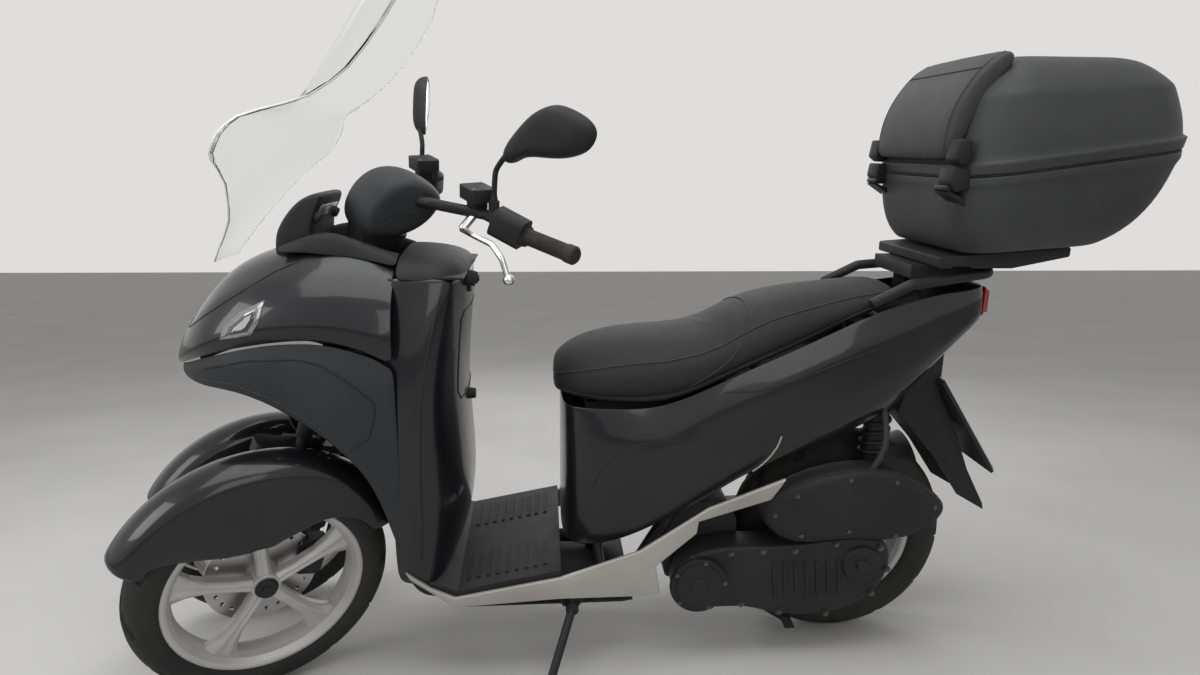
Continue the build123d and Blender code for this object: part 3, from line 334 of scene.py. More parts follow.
def make_finishes(look):
    """Name, colour, least and most roughness, patch scale, grain and its scale, and the rest."""
    for row in (
        (
            "black_gloss", look.gloss_colour, 0.24, 0.36, 5, 0.02, 160,
            dict(coat=0.5, coat_rough=0.06, specular=0.22),
        ),
        ("grey_matte", look.panel_colour, 0.52, 0.66, 6, 0.22, 1500, DULL),
        ("black_matte", look.plastic_colour, 0.5, 0.68, 5, 0.3, 1300, DULL),
        ("box_plastic", look.box_colour, 0.46, 0.6, 4, 0.55, 700, dict(specular=0.28, cells=True)),
        ("silver_paint", look.silver_colour, 0.36, 0.48, 3, 0.04, 2400, dict(metal=0.35)),
        ("frame_paint", (0.01, 0.01, 0.011), 0.4, 0.6, 9, 0.1, 400, DULL),
        ("tyre", look.tyre_colour, 0.7, 0.88, 6, 0.3, 700, dict(other=(0.032, 0.031, 0.03), specular=0.3)),
        ("rim_paint", look.rim_colour, 0.38, 0.5, 8, 0.05, 1800, dict(metal=0.3, other=(0.46, 0.45, 0.43))),
        ("disc_steel", (0.42, 0.41, 0.4), 0.28, 0.42, 12, 0.12, 1600, dict(metal=1.0)),
        ("case_paint", (0.014, 0.014, 0.015), 0.42, 0.62, 8, 0.4, 520, dict(metal=0.1, specular=0.28)),
        ("alloy", (0.62, 0.61, 0.59), 0.22, 0.36, 10, 0.04, 1200, dict(metal=1.0)),
        ("dark_steel", (0.09, 0.088, 0.085), 0.4, 0.6, 30, 0.1, 900, dict(metal=0.9)),
        ("steel", (0.36, 0.35, 0.34), 0.34, 0.55, 30, 0.1, 900, dict(metal=1.0, other=(0.24, 0.23, 0.22))),
        ("seat_cover", look.seat_colour, 0.62, 0.75, 5, 0.5, 620, dict(specular=0.35, cells=True)),
        ("pad_cover", (0.024, 0.024, 0.025), 0.5, 0.62, 4, 0.3, 700, dict(specular=0.35, cells=True)),
        ("stitch", (0.012, 0.012, 0.012), 0.6, 0.8, 3, 0.2, 3000),
        ("grip_rubber", (0.02, 0.019, 0.018), 0.5, 0.7, 20, 0.3, 1400, DULL),
        ("lamp", (0.32, 0.012, 0.012), 0.12, 0.2, 30, 0, 900, dict(coat=1.0, coat_rough=0.03)),
        ("dark_lens", (0.02, 0.021, 0.024), 0.06, 0.12, 40, 0, 900, dict(coat=1.0, coat_rough=0.02)),
        ("lens", (0.24, 0.24, 0.25), 0.08, 0.2, 60, 0, 900, dict(metal=0.6, coat=1.0, coat_rough=0.02)),
        ("display", (0.3, 0.31, 0.29), 0.2, 0.3, 12, 0, 900, dict(coat=0.6)),
        ("mirror_glass", (0.75, 0.76, 0.77), 0.03, 0.06, 20, 0, 900, dict(metal=1.0)),
        # The darker, rougher groove finish is painted shade in the tyre grooves.
        ("plate", (0.62, 0.62, 0.6), 0.35, 0.5, 8, 0.04, 900), ("groove", (0.01, 0.01, 0.01), 0.85, 1, 20),
        # The windscreen's pale opaque rim finish is a painted highlight along the screen's edges.
        ("screen_edge_highlight", (0.8, 0.84, 0.83), 0.3, 0.41, 20), ("seam", (0.006, 0.006, 0.006), 0.7, 0.93, 20),
        ("hose", (0.018, 0.018, 0.018), 0.42, 0.55, 20, 0.15, 1500, DULL),
        ("pale_floor", (0.62, 0.615, 0.6), 0.7, 0.85, 1.5, 0.02, 30, dict(other=(0.68, 0.675, 0.66))),
    ):
        FINISH[row[0]] = finish_of(*row)
    FINISH["clear_screen"] = clear_finish("clear_screen", (0.965, 0.975, 0.97), 0.02, 0.1)


NODE_FINISH = {
    "black_gloss": ("nose_cowl", "leg_shield", "side_covers"),
    "grey_matte": ("arch_panels", "bar_cover", "mudguard_left", "mudguard_right"),
    "black_matte": (
        "dash", "meter", "floorboard", "belly_pan", "storage", "rear_mudguard", "air_box", "switch_housings",
        "mirrors", "box_plate",
    ),
    "box_plastic": ("box_tray", "box_lid"), "silver_paint": ("sills",), "clear_screen": ("windscreen",),
    "frame_paint": (
        "frame", "tilt_arms", "side_pipes", "carrier", "box_hinges", "muffler", "rear_shocks", "side_stand",
        "centre_stand", "steering_column", "fork_left", "fork_right", "tie_rod_left", "tie_rod_right",
    ),
    "tyre": ("rear_tyre", "front_tyre_left", "front_tyre_right"),
    "rim_paint": ("rear_rim", "front_rim_left", "front_rim_right"),
    "disc_steel": ("rear_disc", "front_disc_left", "front_disc_right"),
    "case_paint": ("engine", "drive_case", "slider_left", "slider_right"), "alloy": ("brake_levers",),
    "seat_cover": ("seat", "back_pad"), "grip_rubber": ("grips",), "lamp": ("tail_lamp",),
}


def paint(name, description, default):
    return bpy.props.FloatVectorProperty(
        name=name, description=description, default=default, subtype="COLOR", min=0, max=1)


class ScooterLook(bpy.types.PropertyGroup):
    gloss_colour: paint(
        "Gloss panels", "Paint of the cowl, leg shield and side covers", (0.006, 0.006, 0.008))
    panel_colour: paint(
        "Matte panels", "Moulded grey of the arch panels, bar cover and mudguards", (0.020, 0.021, 0.023))
    plastic_colour: paint(
        "Black plastic", "Moulded black of the floor, dash and small covers", (0.011, 0.011, 0.012))
    box_colour: paint(
        "Top box", "Textured plastic of the top box", (0.034, 0.035, 0.036))
    silver_colour: paint(
        "Sills", "Silver paint of the floor sills", (0.34, 0.325, 0.30))
    rim_colour: paint(
        "Wheels", "Light grey paint of the cast wheels", (0.56, 0.55, 0.53))
    tyre_colour: paint(
        "Tyres", "Dusty rubber", (0.017, 0.017, 0.017))
    seat_colour: paint(
        "Seat cover", "Grained seat cloth", (0.009, 0.009, 0.009))


class ScooterView(bpy.types.PropertyGroup):
    place: bpy.props.FloatVectorProperty(
        name="Camera place", description="Where the camera stands", default=(0.174856, 1.638883, 0.909),
        subtype="TRANSLATION",
    )
    yaw: bpy.props.FloatProperty(
        name="Yaw", description="Turn of the view towards the rear", default=math.radians(4.3),
        subtype="ANGLE",
    )
    pitch: bpy.props.FloatProperty(
        name="Pitch", description="Tilt of the view downwards", default=math.radians(6.6), subtype="ANGLE")
    lens: bpy.props.FloatProperty(
        name="Lens", description="Focal length on a 36 mm wide picture", default=22.8, min=5, max=200)


class SCOOTER_OT_finishes(bpy.types.Operator):
    """Give every node of the frame its finish"""
    bl_idname = "scooter.finishes"
    bl_label = "Finishes"

    def execute(self, context):
        make_finishes(context.scene.scooter_look)
        for name, nodes in NODE_FINISH.items():
            for node in nodes:
                NODES[node].data.materials.clear()
                NODES[node].data.materials.append(FINISH[name])
        return {"FINISHED"}


# Copies of nodes with rounded edges, and points laid on a surface
def rounded(node, finish, width):
    """A copy of a node with its edges rounded, in the node's place."""
    source = NODES[node]
    bm = bmesh.new()
    bm.from_mesh(source.data)
    bmesh.ops.remove_doubles(bm, verts=bm.verts, dist=0.00002)
    bmesh.ops.dissolve_limit(bm, angle_limit=math.radians(1), verts=bm.verts, edges=bm.edges)
    bm.transform(source.matrix_world)
    for face in bm.faces:
        face.smooth = True
    name = node + "_rounded"
    piece = linked(name, mesh_of(name, bm), finish)
    soften(piece, width, 30).harden_normals = True
    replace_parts(ride(piece, body_of(source)[0]), node)


def tree_of(piece):
    return BVHTree.FromObject(piece, bpy.context.evaluated_depsgraph_get())


def drape(tree, points, way, lift, place=BODY):
    """Points moved along a direction, in millimetres, until they rest on a surface."""
    way = Vector(way).normalized()
    aim = (place.to_3x3() @ way).normalized()
    laid = []
    for point in points:
        found = tree.ray_cast(place @ (Vector(point) - way * REACH), aim, REACH * 0.002)
        if found[0] is not None:
            laid.append(place.inverted() @ found[0] - way * lift)
    return laid


def line_on(name, tree, points, finish, radius=1.3, place=BODY, body="chassis", sides=(1, -1), lift=0.2):
    """A thin cord laid along a surface on one side or both, from X and Z pairs."""
    fine = []
    for (x0, z0), (x1, z1) in zip(points, points[1:]):
        steps = max(1, int(math.hypot(x1 - x0, z1 - z0) / 14))
        fine += [(x0 + (x1 - x0) * k / steps, 0, z0 + (z1 - z0) * k / steps) for k in range(steps)]
    fine.append((points[-1][0], 0, points[-1][1]))
    for side in sides:
        laid = drape(tree, fine, (0, -side, 0), lift, place)
        if len(laid) > 2:
            word = "left" if side > 0 else "right"
            pipe(f"{name}_{word}", laid, radius, finish, place, body, sides=2)


def both(rows):
    """Rows of Y and Z pairs at an X, carried over to the right side as one band."""
    return [[(x, y, z) for y, z in row] + [(x, -y, z) for y, z in reversed(row) if y > 0] for x, row in rows]


def sided(rows, side):
    return [[(x, side * y, z) for y, z in row] for x, row in rows]


def shrunk(outline, spans, middle):
    """An outline in X and Z at each Y, drawn in towards its middle by a share."""
    return [
        [(middle[0] + (x - middle[0]) * share, y, middle[1] + (z - middle[1]) * share) for x, z in outline]
        for y, share in spans
    ]


# Half sections of the upper cowl, from its lower seam to the middle: X, then Y and Z
COWL_ROWS = [
    (1438, [(34, 690), (38, 695), (36, 704), (28, 711), (16, 715), (0, 717)]),
    (1415, [(90, 700), (97, 711), (90, 728), (74, 742), (44, 753), (0, 758)]),
    (1380, [(132, 716), (140, 730), (132, 754), (112, 776), (70, 799), (0, 811)]),
    (1342, [(166, 732), (175, 750), (166, 780), (142, 811), (86, 845), (0, 864)]),
    (1300, [(186, 748), (196, 769), (187, 804), (158, 841), (92, 885), (0, 900)]),
    (1240, [(200, 760), (212, 788), (202, 825), (168, 867), (94, 914), (0, 924)]),
    (1180, [(210, 771), (222, 798), (210, 837), (172, 883), (96, 932), (0, 938)]),
]
COWL_FLANK = [
    (1180, [(210, 771), (222, 798), (210, 837), (172, 883), (96, 932)]),
    (1113, [(214, 775), (226, 800), (212, 847), (170, 892), (98, 937)]),
    (1064, [(216, 766), (228, 796), (212, 849), (170, 893), (102, 937)]),
    (1010, [(217, 748), (229, 784), (212, 845), (170, 886), (108, 922)]),
    (968, [(218, 722), (228, 768), (210, 831), (174, 876), (108, 903)]),
]
# Arch panels, from the seam under the cowl down to the edge of the wheel space
ARCH_ROWS = [
    (1434, [(33, 690), (37, 678), (34, 666)]),
    (1400, [(100, 703), (108, 690), (103, 677)]),
    (1345, [(164, 730), (174, 711), (170, 676)]),
    (1272, [(196, 752), (206, 729), (204, 676)]),
    (1200, [(206, 768), (218, 739), (216, 650)]),
    (1117, [(212, 772), (226, 729), (222, 592)]),
    (1069, [(214, 764), (228, 719), (224, 545)]),
    (1031, [(215, 752), (228, 699), (216, 492)]),
    (1003, [(216, 742), (227, 689), (210, 412)]),
    (985, [(217, 728), (227, 679), (206, 330)]),
    (968, [(217, 720), (227, 669), (205, 300)]),
]
# Side covers, from the lower edge up; the third pair is the crease, the fourth the accent
COVER_ROWS = [
    (640, [(118, 296), (128, 360), (132, 450), (130, 540), (126, 612)]),
    (600, [(150, 300), (158, 370), (160, 450), (155, 540), (142, 613)]),
    (530, [(170, 322), (178, 390), (180, 483), (174, 540), (151, 613)]),
    (450, [(178, 364), (184, 440), (184, 535), (174, 562), (153, 614)]),
    (365, [(180, 410), (186, 470), (184, 545), (176, 594), (159, 650)]),
    (290, [(174, 460), (184, 510), (184, 566), (178, 626), (161, 688)]),
    (200, [(168, 498), (181, 540), (182, 592), (174, 664), (155, 725)]),
    (114, [(158, 530), (173, 570), (176, 620), (168, 706), (149, 762)]),
    (30, [(148, 556), (162, 592), (168, 645), (158, 742), (139, 797)]),
    (-50, [(132, 594), (149, 630), (154, 675), (146, 768), (127, 823)]),
    (-130, [(110, 670), (125, 690), (132, 716), (126, 792), (113, 840)]),
    (-200, [(90, 732), (103, 745), (110, 760), (104, 815), (95, 844)]),
    (-258, [(70, 776), (80, 785), (84, 800), (80, 835), (73, 848)]),
]


def ruled_shell(name, groups, crease_at, amount, finish):
    """Bands bridged through their rows, creased lengthwise where the table says."""
    bm = bmesh.new()
    bm.edges.layers.float.new("crease_edge")
    for rows in groups:
        chains = skin(bm, rows)
        for near, far in zip(chains, chains[1:]):
            near_ends = [edge.verts for edge in near]
            for k in crease_at:
                for spot in (k, len(near) - k):
                    if 0 < spot < len(near):
                        a = set(near_ends[spot - 1]) & set(near_ends[spot])
                        b = set(far[spot - 1].verts) & set(far[spot].verts)
                        if a and b:
                            edge = bm.edges.get((a.pop(), b.pop()))
                            if edge:
                                crease_chain(bm, [edge], amount)
    return settle(bm, name, finish, thick=2.5, level=2)


class SCOOTER_OT_front_shells(bpy.types.Operator):
    """Shape the upper cowl and the arch panels as smooth shells with their seams"""
    bl_idname = "scooter.front_shells"
    bl_label = "Front shells"

    def execute(self, context):
        cowl = ruled_shell(
            "upper_cowl", [both(COWL_ROWS), sided(COWL_FLANK, 1), sided(COWL_FLANK, -1)], (1, 3), 0.75,
            "black_gloss",
        )
        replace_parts(cowl, "nose_cowl")
        arch = ruled_shell(
            "arch_shell", [sided(ARCH_ROWS, 1), sided(ARCH_ROWS, -1)], (1,), 0.6, "grey_matte",
        )
        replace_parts(arch, "arch_panels")
        upper, lower = tree_of(cowl), tree_of(arch)
        line_on(
            "panel_groove", lower,
            [
                (1331, 713), (1242, 736), (1145, 741), (1103, 732), (1052, 699), (1006, 655), (1008, 630),
                (1022, 583), (1060, 560),
            ],
            "seam", 1.6,
        )
        line_on(
            "panel_rim", lower, [(1345, 690), (1272, 690), (1200, 664), (1120, 612), (1072, 560)],
            "grey_matte", 3.0, lift=-0.6,
        )
        line_on(
            "lid_seam", upper, [(1375, 780), (1325, 812), (1265, 850), (1194, 893), (1150, 912)], "seam",
            1.2,
        )
        return {"FINISHED"}


class SCOOTER_OT_side_covers(bpy.types.Operator):
    """Shape the covers below the seat with their creases, accents and seams"""
    bl_idname = "scooter.covers"
    bl_label = "Side covers"

    def execute(self, context):
        near, far = sided(COVER_ROWS, 1), sided(COVER_ROWS, -1)
        front, rear = COVER_ROWS[0][1], COVER_ROWS[-1][1]
        nose = [[(x, y * share, z) for y, z in front] for x, share in ((650, 0.62), (653, 0), (650, -0.62))]
        tail = [[(-261, y * share, z) for y, z in rear] for share in (-0.6, 0, 0.6)]
        cover = ruled_shell(
            "cover_shell", [near[::-1] + nose + far + tail + near[-1:]], (2, 3), 0.7, "black_gloss",
        )
        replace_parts(cover, "side_covers")
        tree = tree_of(cover)
        line_on(
            "cover_seam", tree,
            [(318, 442), (300, 452), (270, 466), (241, 486), (222, 508), (208, 534), (202, 556)],
            "silver_paint", 2.0,
        )
        line_on(
            "cover_accent", tree, [(325, 648), (253, 651), (172, 675), (72, 712), (-60, 752)], "seam", 1.5,
        )
        line_on(
            "cover_split", tree, [(590, 440), (570, 489), (525, 535), (454, 548), (372, 553)], "seam", 1.3,
        )
        return {"FINISHED"}


# Windscreen: height, X at the middle, half width, how far its edge sweeps back
GLASS_ROWS = [
    (900, 1337, 60, 4), (925, 1323, 76, 6), (955, 1305, 92, 8), (985, 1287, 114, 10), (1010, 1271, 146, 9),
    (1035, 1255, 184, 8), (1060, 1239, 226, 7), (1085, 1223, 285, 5), (1100, 1213, 330, 5),
    (1113, 1205, 356, 5), (1128, 1195, 364, 5), (1142, 1187, 364, 5), (1156, 1178, 354, 6),
    (1170, 1169, 330, 8), (1183, 1161, 272, 14), (1195, 1153, 224, 30), (1210, 1144, 194, 56),
    (1235, 1128, 184, 78), (1260, 1112, 182, 93), (1300, 1086, 183, 103), (1345, 1057, 184, 108),
    (1390, 1028, 180, 108), (1430, 1002, 166, 98), (1465, 980, 148, 86), (1495, 960, 120, 64),
    (1515, 948, 94, 44), (1526, 941, 58, 20),
]
GLASS_STEPS = 14


class SCOOTER_OT_windscreen(bpy.types.Operator):
    """Shape the clear screen as one thin curved sheet"""
    bl_idname = "scooter.windscreen"
    bl_label = "Windscreen"

    def execute(self, context):
        bm = bmesh.new()
        rows = []
        for z, x, half, sag in GLASS_ROWS:
            row = []
            for k in range(-GLASS_STEPS, GLASS_STEPS + 1):
                share = k / GLASS_STEPS
                row.append((x + 4 - sag * abs(share) ** 2.2, half * share, z))
            rows.append(row)
        skin(bm, rows)
        # The rim of the sheet takes the pale second finish: a painted highlight along the screen's edges.
        glass = settle(bm, "screen_sheet", ("clear_screen", "screen_edge_highlight"))
        wall = glass.modifiers.new("wall", "SOLIDIFY")
        wall.thickness = 0.0035
        wall.offset = 0
        wall.material_offset_rim = 1
        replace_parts(glass, "windscreen")
        return {"FINISHED"}


# Wheels
def tread(bm, radius, half, shoulder, rim_r, steps, reach):
    """A tyre turned from its section, with slanting grooves sunk into its crown; the sunk faces take the
    second finish, darker and rougher, as painted shade in the grooves.
    """
    section = [
        (0, half - 9, rim_r), (0, half - 2, rim_r + 5), (0, half, (rim_r + shoulder) / 2),
        (0, half, shoulder),
    ]
    for k in range(1, 6):
        turn = math.pi / 2 * k / 6
        section.append((0, half * math.cos(turn), shoulder + (radius - shoulder) * math.sin(turn)))
    section.append((0, 0, radius))
    section += [(0, -y, z) for _, y, z in reversed(section[:-1])]
    chain(bm, section)
    spin(bm, steps)
    bmesh.ops.remove_doubles(bm, verts=bm.verts, dist=0.01)
    bmesh.ops.recalc_face_normals(bm, faces=bm.faces)
    sunk = []
    for face in bm.faces:
        middle = face.calc_center_median()
        spot = int((math.atan2(middle.z, middle.x) / math.tau + 0.5) * steps)
        column = int((middle.y / half + 1) * 6)
        if math.hypot(middle.x, middle.z) < shoulder + 3:
            continue
        side = 1 if middle.y > 0 else -1
        along = spot + (column if side > 0 else -column + 4)
        if along % reach in (0, 1) and 1 < abs(middle.y) < half * 0.9:
            sunk.append(face)
    groove = bmesh.ops.inset_region(bm, faces=sunk, thickness=0.8, depth=-2.6, use_even_offset=True)["faces"]
    # Groove floors and walls take the darker second finish: painted shade in the grooves.
    for face in sunk + groove:
        face.material_index = 1


# A spoke seen from the side: distance from the hub and half width
SPOKE = [(0.13, 15), (0.35, 13), (0.58, 15), (0.74, 22), (0.86, 34), (0.93, 44)]


def cast_wheel(bm, rim_r, half, hub_r, side):
    """A cast rim with a hub and five spokes that flare out to it."""
    ring = [
        (0, half, rim_r + 1), (0, half + 1, rim_r - 6), (0, half - 3, rim_r - 12),
        (0, half - 13, rim_r - 19), (0, 6, rim_r - 23), (0, -6, rim_r - 23), (0, 13 - half, rim_r - 19),
        (0, 3 - half, rim_r - 12), (0, -half - 1, rim_r - 6), (0, -half, rim_r + 1),
    ]
    chain(bm, ring, True)
    spin(bm, 80)
    rod(bm, (0, -side * 24, 0), (0, side * (24 if half < 40 else 40), 0), hub_r, 40, hub_r * 0.82)
    for k in range(5):
        turn = Matrix.Rotation(-math.radians(18 + 72 * k), 4, (0, 1, 0))
        rows = []
        for share, wide in SPOKE:
            reach = share * rim_r
            crown = side * (22 - 8 * share)
            rows.append(
                [
                    turn @ Vector(point)
                    for point in (
                        (reach, crown - side * 22, -wide), (reach, crown - side * 5, -wide),
                        (reach, crown + side * 4, -wide * 0.45), (reach, crown + side * 1, 0),
                        (reach, crown + side * 4, wide * 0.45), (reach, crown - side * 5, wide),
                        (reach, crown - side * 22, wide),
                    )
                ]
            )
        skin(bm, rows, True, True)


class SCOOTER_OT_wheels(bpy.types.Operator):
    """Turn the tyres with their tread and dress the cast wheels and brake discs"""
    bl_idname = "scooter.wheels"
    bl_label = "Wheels"

    def execute(self, context):
        for name, matrix, body, radius, half, rim_r in (
            ("rear", REAR_WHEEL, "rear_wheel", REAR_R, 55, 165),
            ("front_left", FRONT_WHEEL["left"], "front_wheel_left", HUB[2], 45, 190),
            ("front_right", FRONT_WHEEL["right"], "front_wheel_right", HUB[2], 45, 190),
        ):
            bm = bmesh.new()
            tread(bm, radius - 0.4, half - 0.3, radius - half * 0.9, rim_r, 108, 9)
            # The tread's second finish darkens its grooves as painted shade.
            tyre = settle(bm, name + "_tread", ("tyre", "groove"), matrix, body, normals=False)
            node = "rear_tyre" if name == "rear" else name.replace("front_", "front_tyre_")
            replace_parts(tyre, node)
            sign = -1 if name.endswith("right") else 1
            bm = bmesh.new()
            cast_wheel(bm, rim_r, half - 9, 34 if name != "rear" else 46, sign)
            rim = settle(bm, name + "_cast_rim", "rim_paint", matrix, body, smooth=False, bevel=3)
            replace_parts(rim, node.replace("tyre", "rim"))
            bm = bmesh.new()
            out = 29 if name != "rear" else 43
            rod(bm, (0, sign * (out - 2), 0), (0, sign * (out + 5), 0), 23, 40, 19)
            rod(bm, (0, sign * (out + 4), 0), (0, sign * (out + 8), 0), 11, 6, 10)
            settle(bm, name + "_hub_cap", "black_matte", matrix, body, smooth=False, bevel=0.8)
            bm = bmesh.new()
            for k in range(5):
                turn = math.radians(54 + 72 * k)
                rod(bm, (math.cos(turn) * 30, -sign * 23, math.sin(turn) * 30),
                    (math.cos(turn) * 30, -sign * 33, math.sin(turn) * 30), 5, 6, 4.5)
            turn = math.radians(36)
            reach = rim_r - 26
            rod(bm, (math.cos(turn) * reach, 0, math.sin(turn) * reach),
                (math.cos(turn) * (reach - 26), sign * 9, math.sin(turn) * (reach - 26)), 3.6, 12, 2.6)
            settle(bm, name + "_bolts", "steel", matrix, body, smooth=False)
        return {"FINISHED"}


# Mudguard over a front wheel, in degrees round the hub from the front and in millimetres
GUARD_FROM = 31
GUARD_SWEEP = 129
GUARD_R = 262
SKIRT_DEPTH = 112
# Only what lies nearer to the hub than this is drawn to the skirt's edge
SKIRT_FROM = 258
# Its section: distance from the wheel's middle and from the hub
GUARD_SECTION = [
    (-53, 238), (-53, 262), (-46, 280), (-26, 293), (2, 297), (28, 290), (46, 279), (54, 262), (54.5, 240),
    (54, 210), (53, 180), (51, 150),
]
# Angle up from the front, and how close the outer skirt comes to the hub there
SKIRT_EDGE = [
    (31, 262), (37, 238), (48, 176), (60, 134), (74, 116), (100, 112), (117, 140), (128, 178), (138, 205),
    (150, 222), (161, 230),
]


class SCOOTER_OT_fenders(bpy.types.Operator):
    """Turn each front mudguard as one smooth hoop with a rolled edge"""
    bl_idname = "scooter.fenders"
    bl_label = "Front mudguards"

    def execute(self, context):
        for word, side in SIDES:
            bm = bmesh.new()
            start = Matrix.Rotation(math.radians(90 - GUARD_FROM), 4, (0, 1, 0))
            chain(bm, [start @ Vector((0, side * y, z)) for y, z in GUARD_SECTION])
            spin(bm, 26, (0, -1, 0), math.radians(GUARD_SWEEP))
            bmesh.ops.remove_doubles(bm, verts=bm.verts, dist=0.01)
            for vert in bm.verts:
                turn = math.degrees(math.atan2(vert.co.z, vert.co.x))
                radius = math.hypot(vert.co.x, vert.co.z)
                if radius < SKIRT_FROM and side * vert.co.y > 20:
                    edge = SKIRT_EDGE[-1][1]
                    for (low, first), (high, last) in zip(SKIRT_EDGE, SKIRT_EDGE[1:]):
                        if low <= turn <= high:
                            edge = first + (last - first) * (turn - low) / (high - low)
                            break
                    wanted = GUARD_R - (GUARD_R - edge) * (GUARD_R - radius) / SKIRT_DEPTH
                    vert.co.x *= wanted / radius
                    vert.co.z *= wanted / radius
            guard = settle(
                bm, f"fender_{word}", "black_gloss", FRONT_WHEEL[word], f"knuckle_{word}", thick=3, level=1,
            )
            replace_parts(guard, f"mudguard_{word}")
        return {"FINISHED"}


class SCOOTER_OT_castings(bpy.types.Operator):
    """Round the edges of the moulded and cast parts"""
    bl_idname = "scooter.castings"
    bl_label = "Rounded parts"

    def execute(self, context):
        for finish, width, names in (
            ("silver_paint", 3.0, ("sills",)),
            ("black_matte", 2.0, ("dash", "floorboard", "belly_pan", "storage", "rear_mudguard")),
            ("black_matte", 5.0, ("box_plate", "switch_housings")),
            ("case_paint", 5.0, ("engine", "slider_left", "slider_right")),
            (
                "frame_paint", 2.5,
                (
                    "tilt_arms", "carrier", "box_hinges", "side_stand", "centre_stand", "muffler",
                    "fork_left", "fork_right",
                ),
            ),
            ("alloy", 1.5, ("brake_levers",)), ("lamp", 4.0, ("tail_lamp",)),
        ):
            for name in names:
                rounded(name, finish, width)
        return {"FINISHED"}


def patch(name, tree, outline, finish, side, rise, lift=0.4):
    """A thin lens lying on a surface, from its outline in X and Z."""
    way = Vector((0, -side, 0))
    bm = bmesh.new()
    edges = chain(bm, drape(tree, [(x, 0, z) for x, z in outline], way, lift), True)
    face = bmesh.ops.contextual_create(bm, geom=edges)["faces"][0]
    bmesh.ops.triangulate(bm, faces=[face])
    bmesh.ops.subdivide_edges(bm, edges=bm.edges[:], cuts=2, use_grid_fill=True)
    aim = (BODY.to_3x3() @ way).normalized()
    for vert in bm.verts:
        near = tree.ray_cast(BODY @ Vector((vert.co.x, side * REACH, vert.co.z)), aim, REACH * 0.002)
        if near[0] is not None:
            vert.co = BODY.inverted() @ near[0] + Vector((0, side * lift, 0))
    settle(bm, name, finish, thick=rise).modifiers["wall"].offset = 0


def crowned(name, outline, spans, middle, finish, place=BODY, body="chassis"):
    """A closed outline in X and Z carried across Y, smaller towards its ends."""
    bm = bmesh.new()
    skin(bm, shrunk(outline, spans, middle), True, True)
    return settle(bm, name, finish, place, body, level=2)


def stuffed(piece, cap, pressure, cell, held, underside):
    """Blow a closed cover out like a cushion; its seams and its underside stay where they are."""
    scene = bpy.context.scene
    cells = piece.modifiers.new("cells", "REMESH")
    cells.mode = "VOXEL"
    cells.voxel_size = cell
    old = piece.data
    mesh = bpy.data.meshes.new_from_object(piece.evaluated_get(bpy.context.evaluated_depsgraph_get()))
    piece.modifiers.clear()
    mesh.name = old.name + "_cover"
    mesh.materials.clear()
    for one in old.materials:
        mesh.materials.append(one)
    piece.data = mesh
    for face in mesh.polygons:
        face.use_smooth = True
    seams = KDTree(len(held))
    for spot, point in enumerate(held):
        seams.insert(point, spot)
    seams.balance()
    start = [vert.co.copy() for vert in mesh.vertices]
    group = piece.vertex_groups.new(name="held")
    for vert in mesh.vertices:
        if underside(vert.co) or seams.find(vert.co)[2] < cell * 0.9:
            group.add([vert.index], 1.0, "REPLACE")
    cloth = piece.modifiers.new("cloth", "CLOTH")
    cloth.settings.quality = 4
    cloth.settings.mass = 0.3
    cloth.settings.tension_stiffness = 25
    cloth.settings.compression_stiffness = 25
    cloth.settings.shear_stiffness = 12
    cloth.settings.bending_stiffness = 2
    cloth.settings.use_pressure = True
    cloth.settings.uniform_pressure_force = pressure
    cloth.settings.vertex_group_mass = "held"
    cloth.settings.effector_weights.gravity = 0
    cloth.collision_settings.use_collision = False
    scene.frame_start = 1
    scene.frame_end = 20
    for number in range(1, 21):
        scene.frame_set(number)
    blown = bpy.data.meshes.new_from_object(piece.evaluated_get(bpy.context.evaluated_depsgraph_get()))
    piece.modifiers.clear()
    piece.vertex_groups.clear()
    for vert, was, now in zip(mesh.vertices, start, blown.vertices):
        move = now.co - was
        if move.length > cap:
            move *= cap / move.length
        vert.co = was + move
    scene.frame_set(1)
    bm = bmesh.new()
    bm.from_mesh(mesh)
    for _ in range(2):
        bmesh.ops.smooth_vert(
            bm, verts=bm.verts, factor=0.35, use_axis_x=True, use_axis_y=True, use_axis_z=True,
        )
    bm.to_mesh(mesh)
    bm.free()


# Seat cushion: half rings from its base to the middle of its top
SEAT_ROWS = [
    (668, [(0, 622), (44, 624), (62, 640), (54, 662), (32, 676), (0, 682)]),
    (652, [(0, 618), (74, 622), (92, 642), (84, 672), (52, 694), (0, 702)]),
    (620, [(0, 616), (108, 620), (128, 646), (118, 684), (74, 712), (0, 720)]),
    (575, [(0, 614), (132, 618), (150, 652), (138, 696), (88, 727), (0, 735)]),
    (510, [(0, 613), (144, 618), (160, 658), (146, 706), (94, 738), (0, 745)]),
    (440, [(0, 613), (150, 619), (164, 664), (150, 712), (96, 742), (0, 748)]),
    (370, [(0, 638), (151, 644), (164, 684), (148, 726), (94, 747), (0, 751)]),
    (325, [(0, 660), (150, 666), (163, 704), (144, 742), (90, 762), (0, 767)]),
    (280, [(0, 680), (149, 686), (160, 724), (138, 766), (86, 790), (0, 796)]),
    (225, [(0, 704), (148, 710), (158, 750), (134, 792), (84, 815), (0, 821)]),
    (150, [(0, 736), (142, 742), (151, 778), (126, 812), (80, 830), (0, 835)]),
    (50, [(0, 779), (120, 784), (129, 806), (106, 832), (66, 842), (0, 846)]),
    (-30, [(0, 808), (106, 811), (116, 826), (96, 842), (56, 848), (0, 851)]),
    (-64, [(0, 819), (98, 821), (108, 833), (88, 844), (50, 849), (0, 851)]),
]


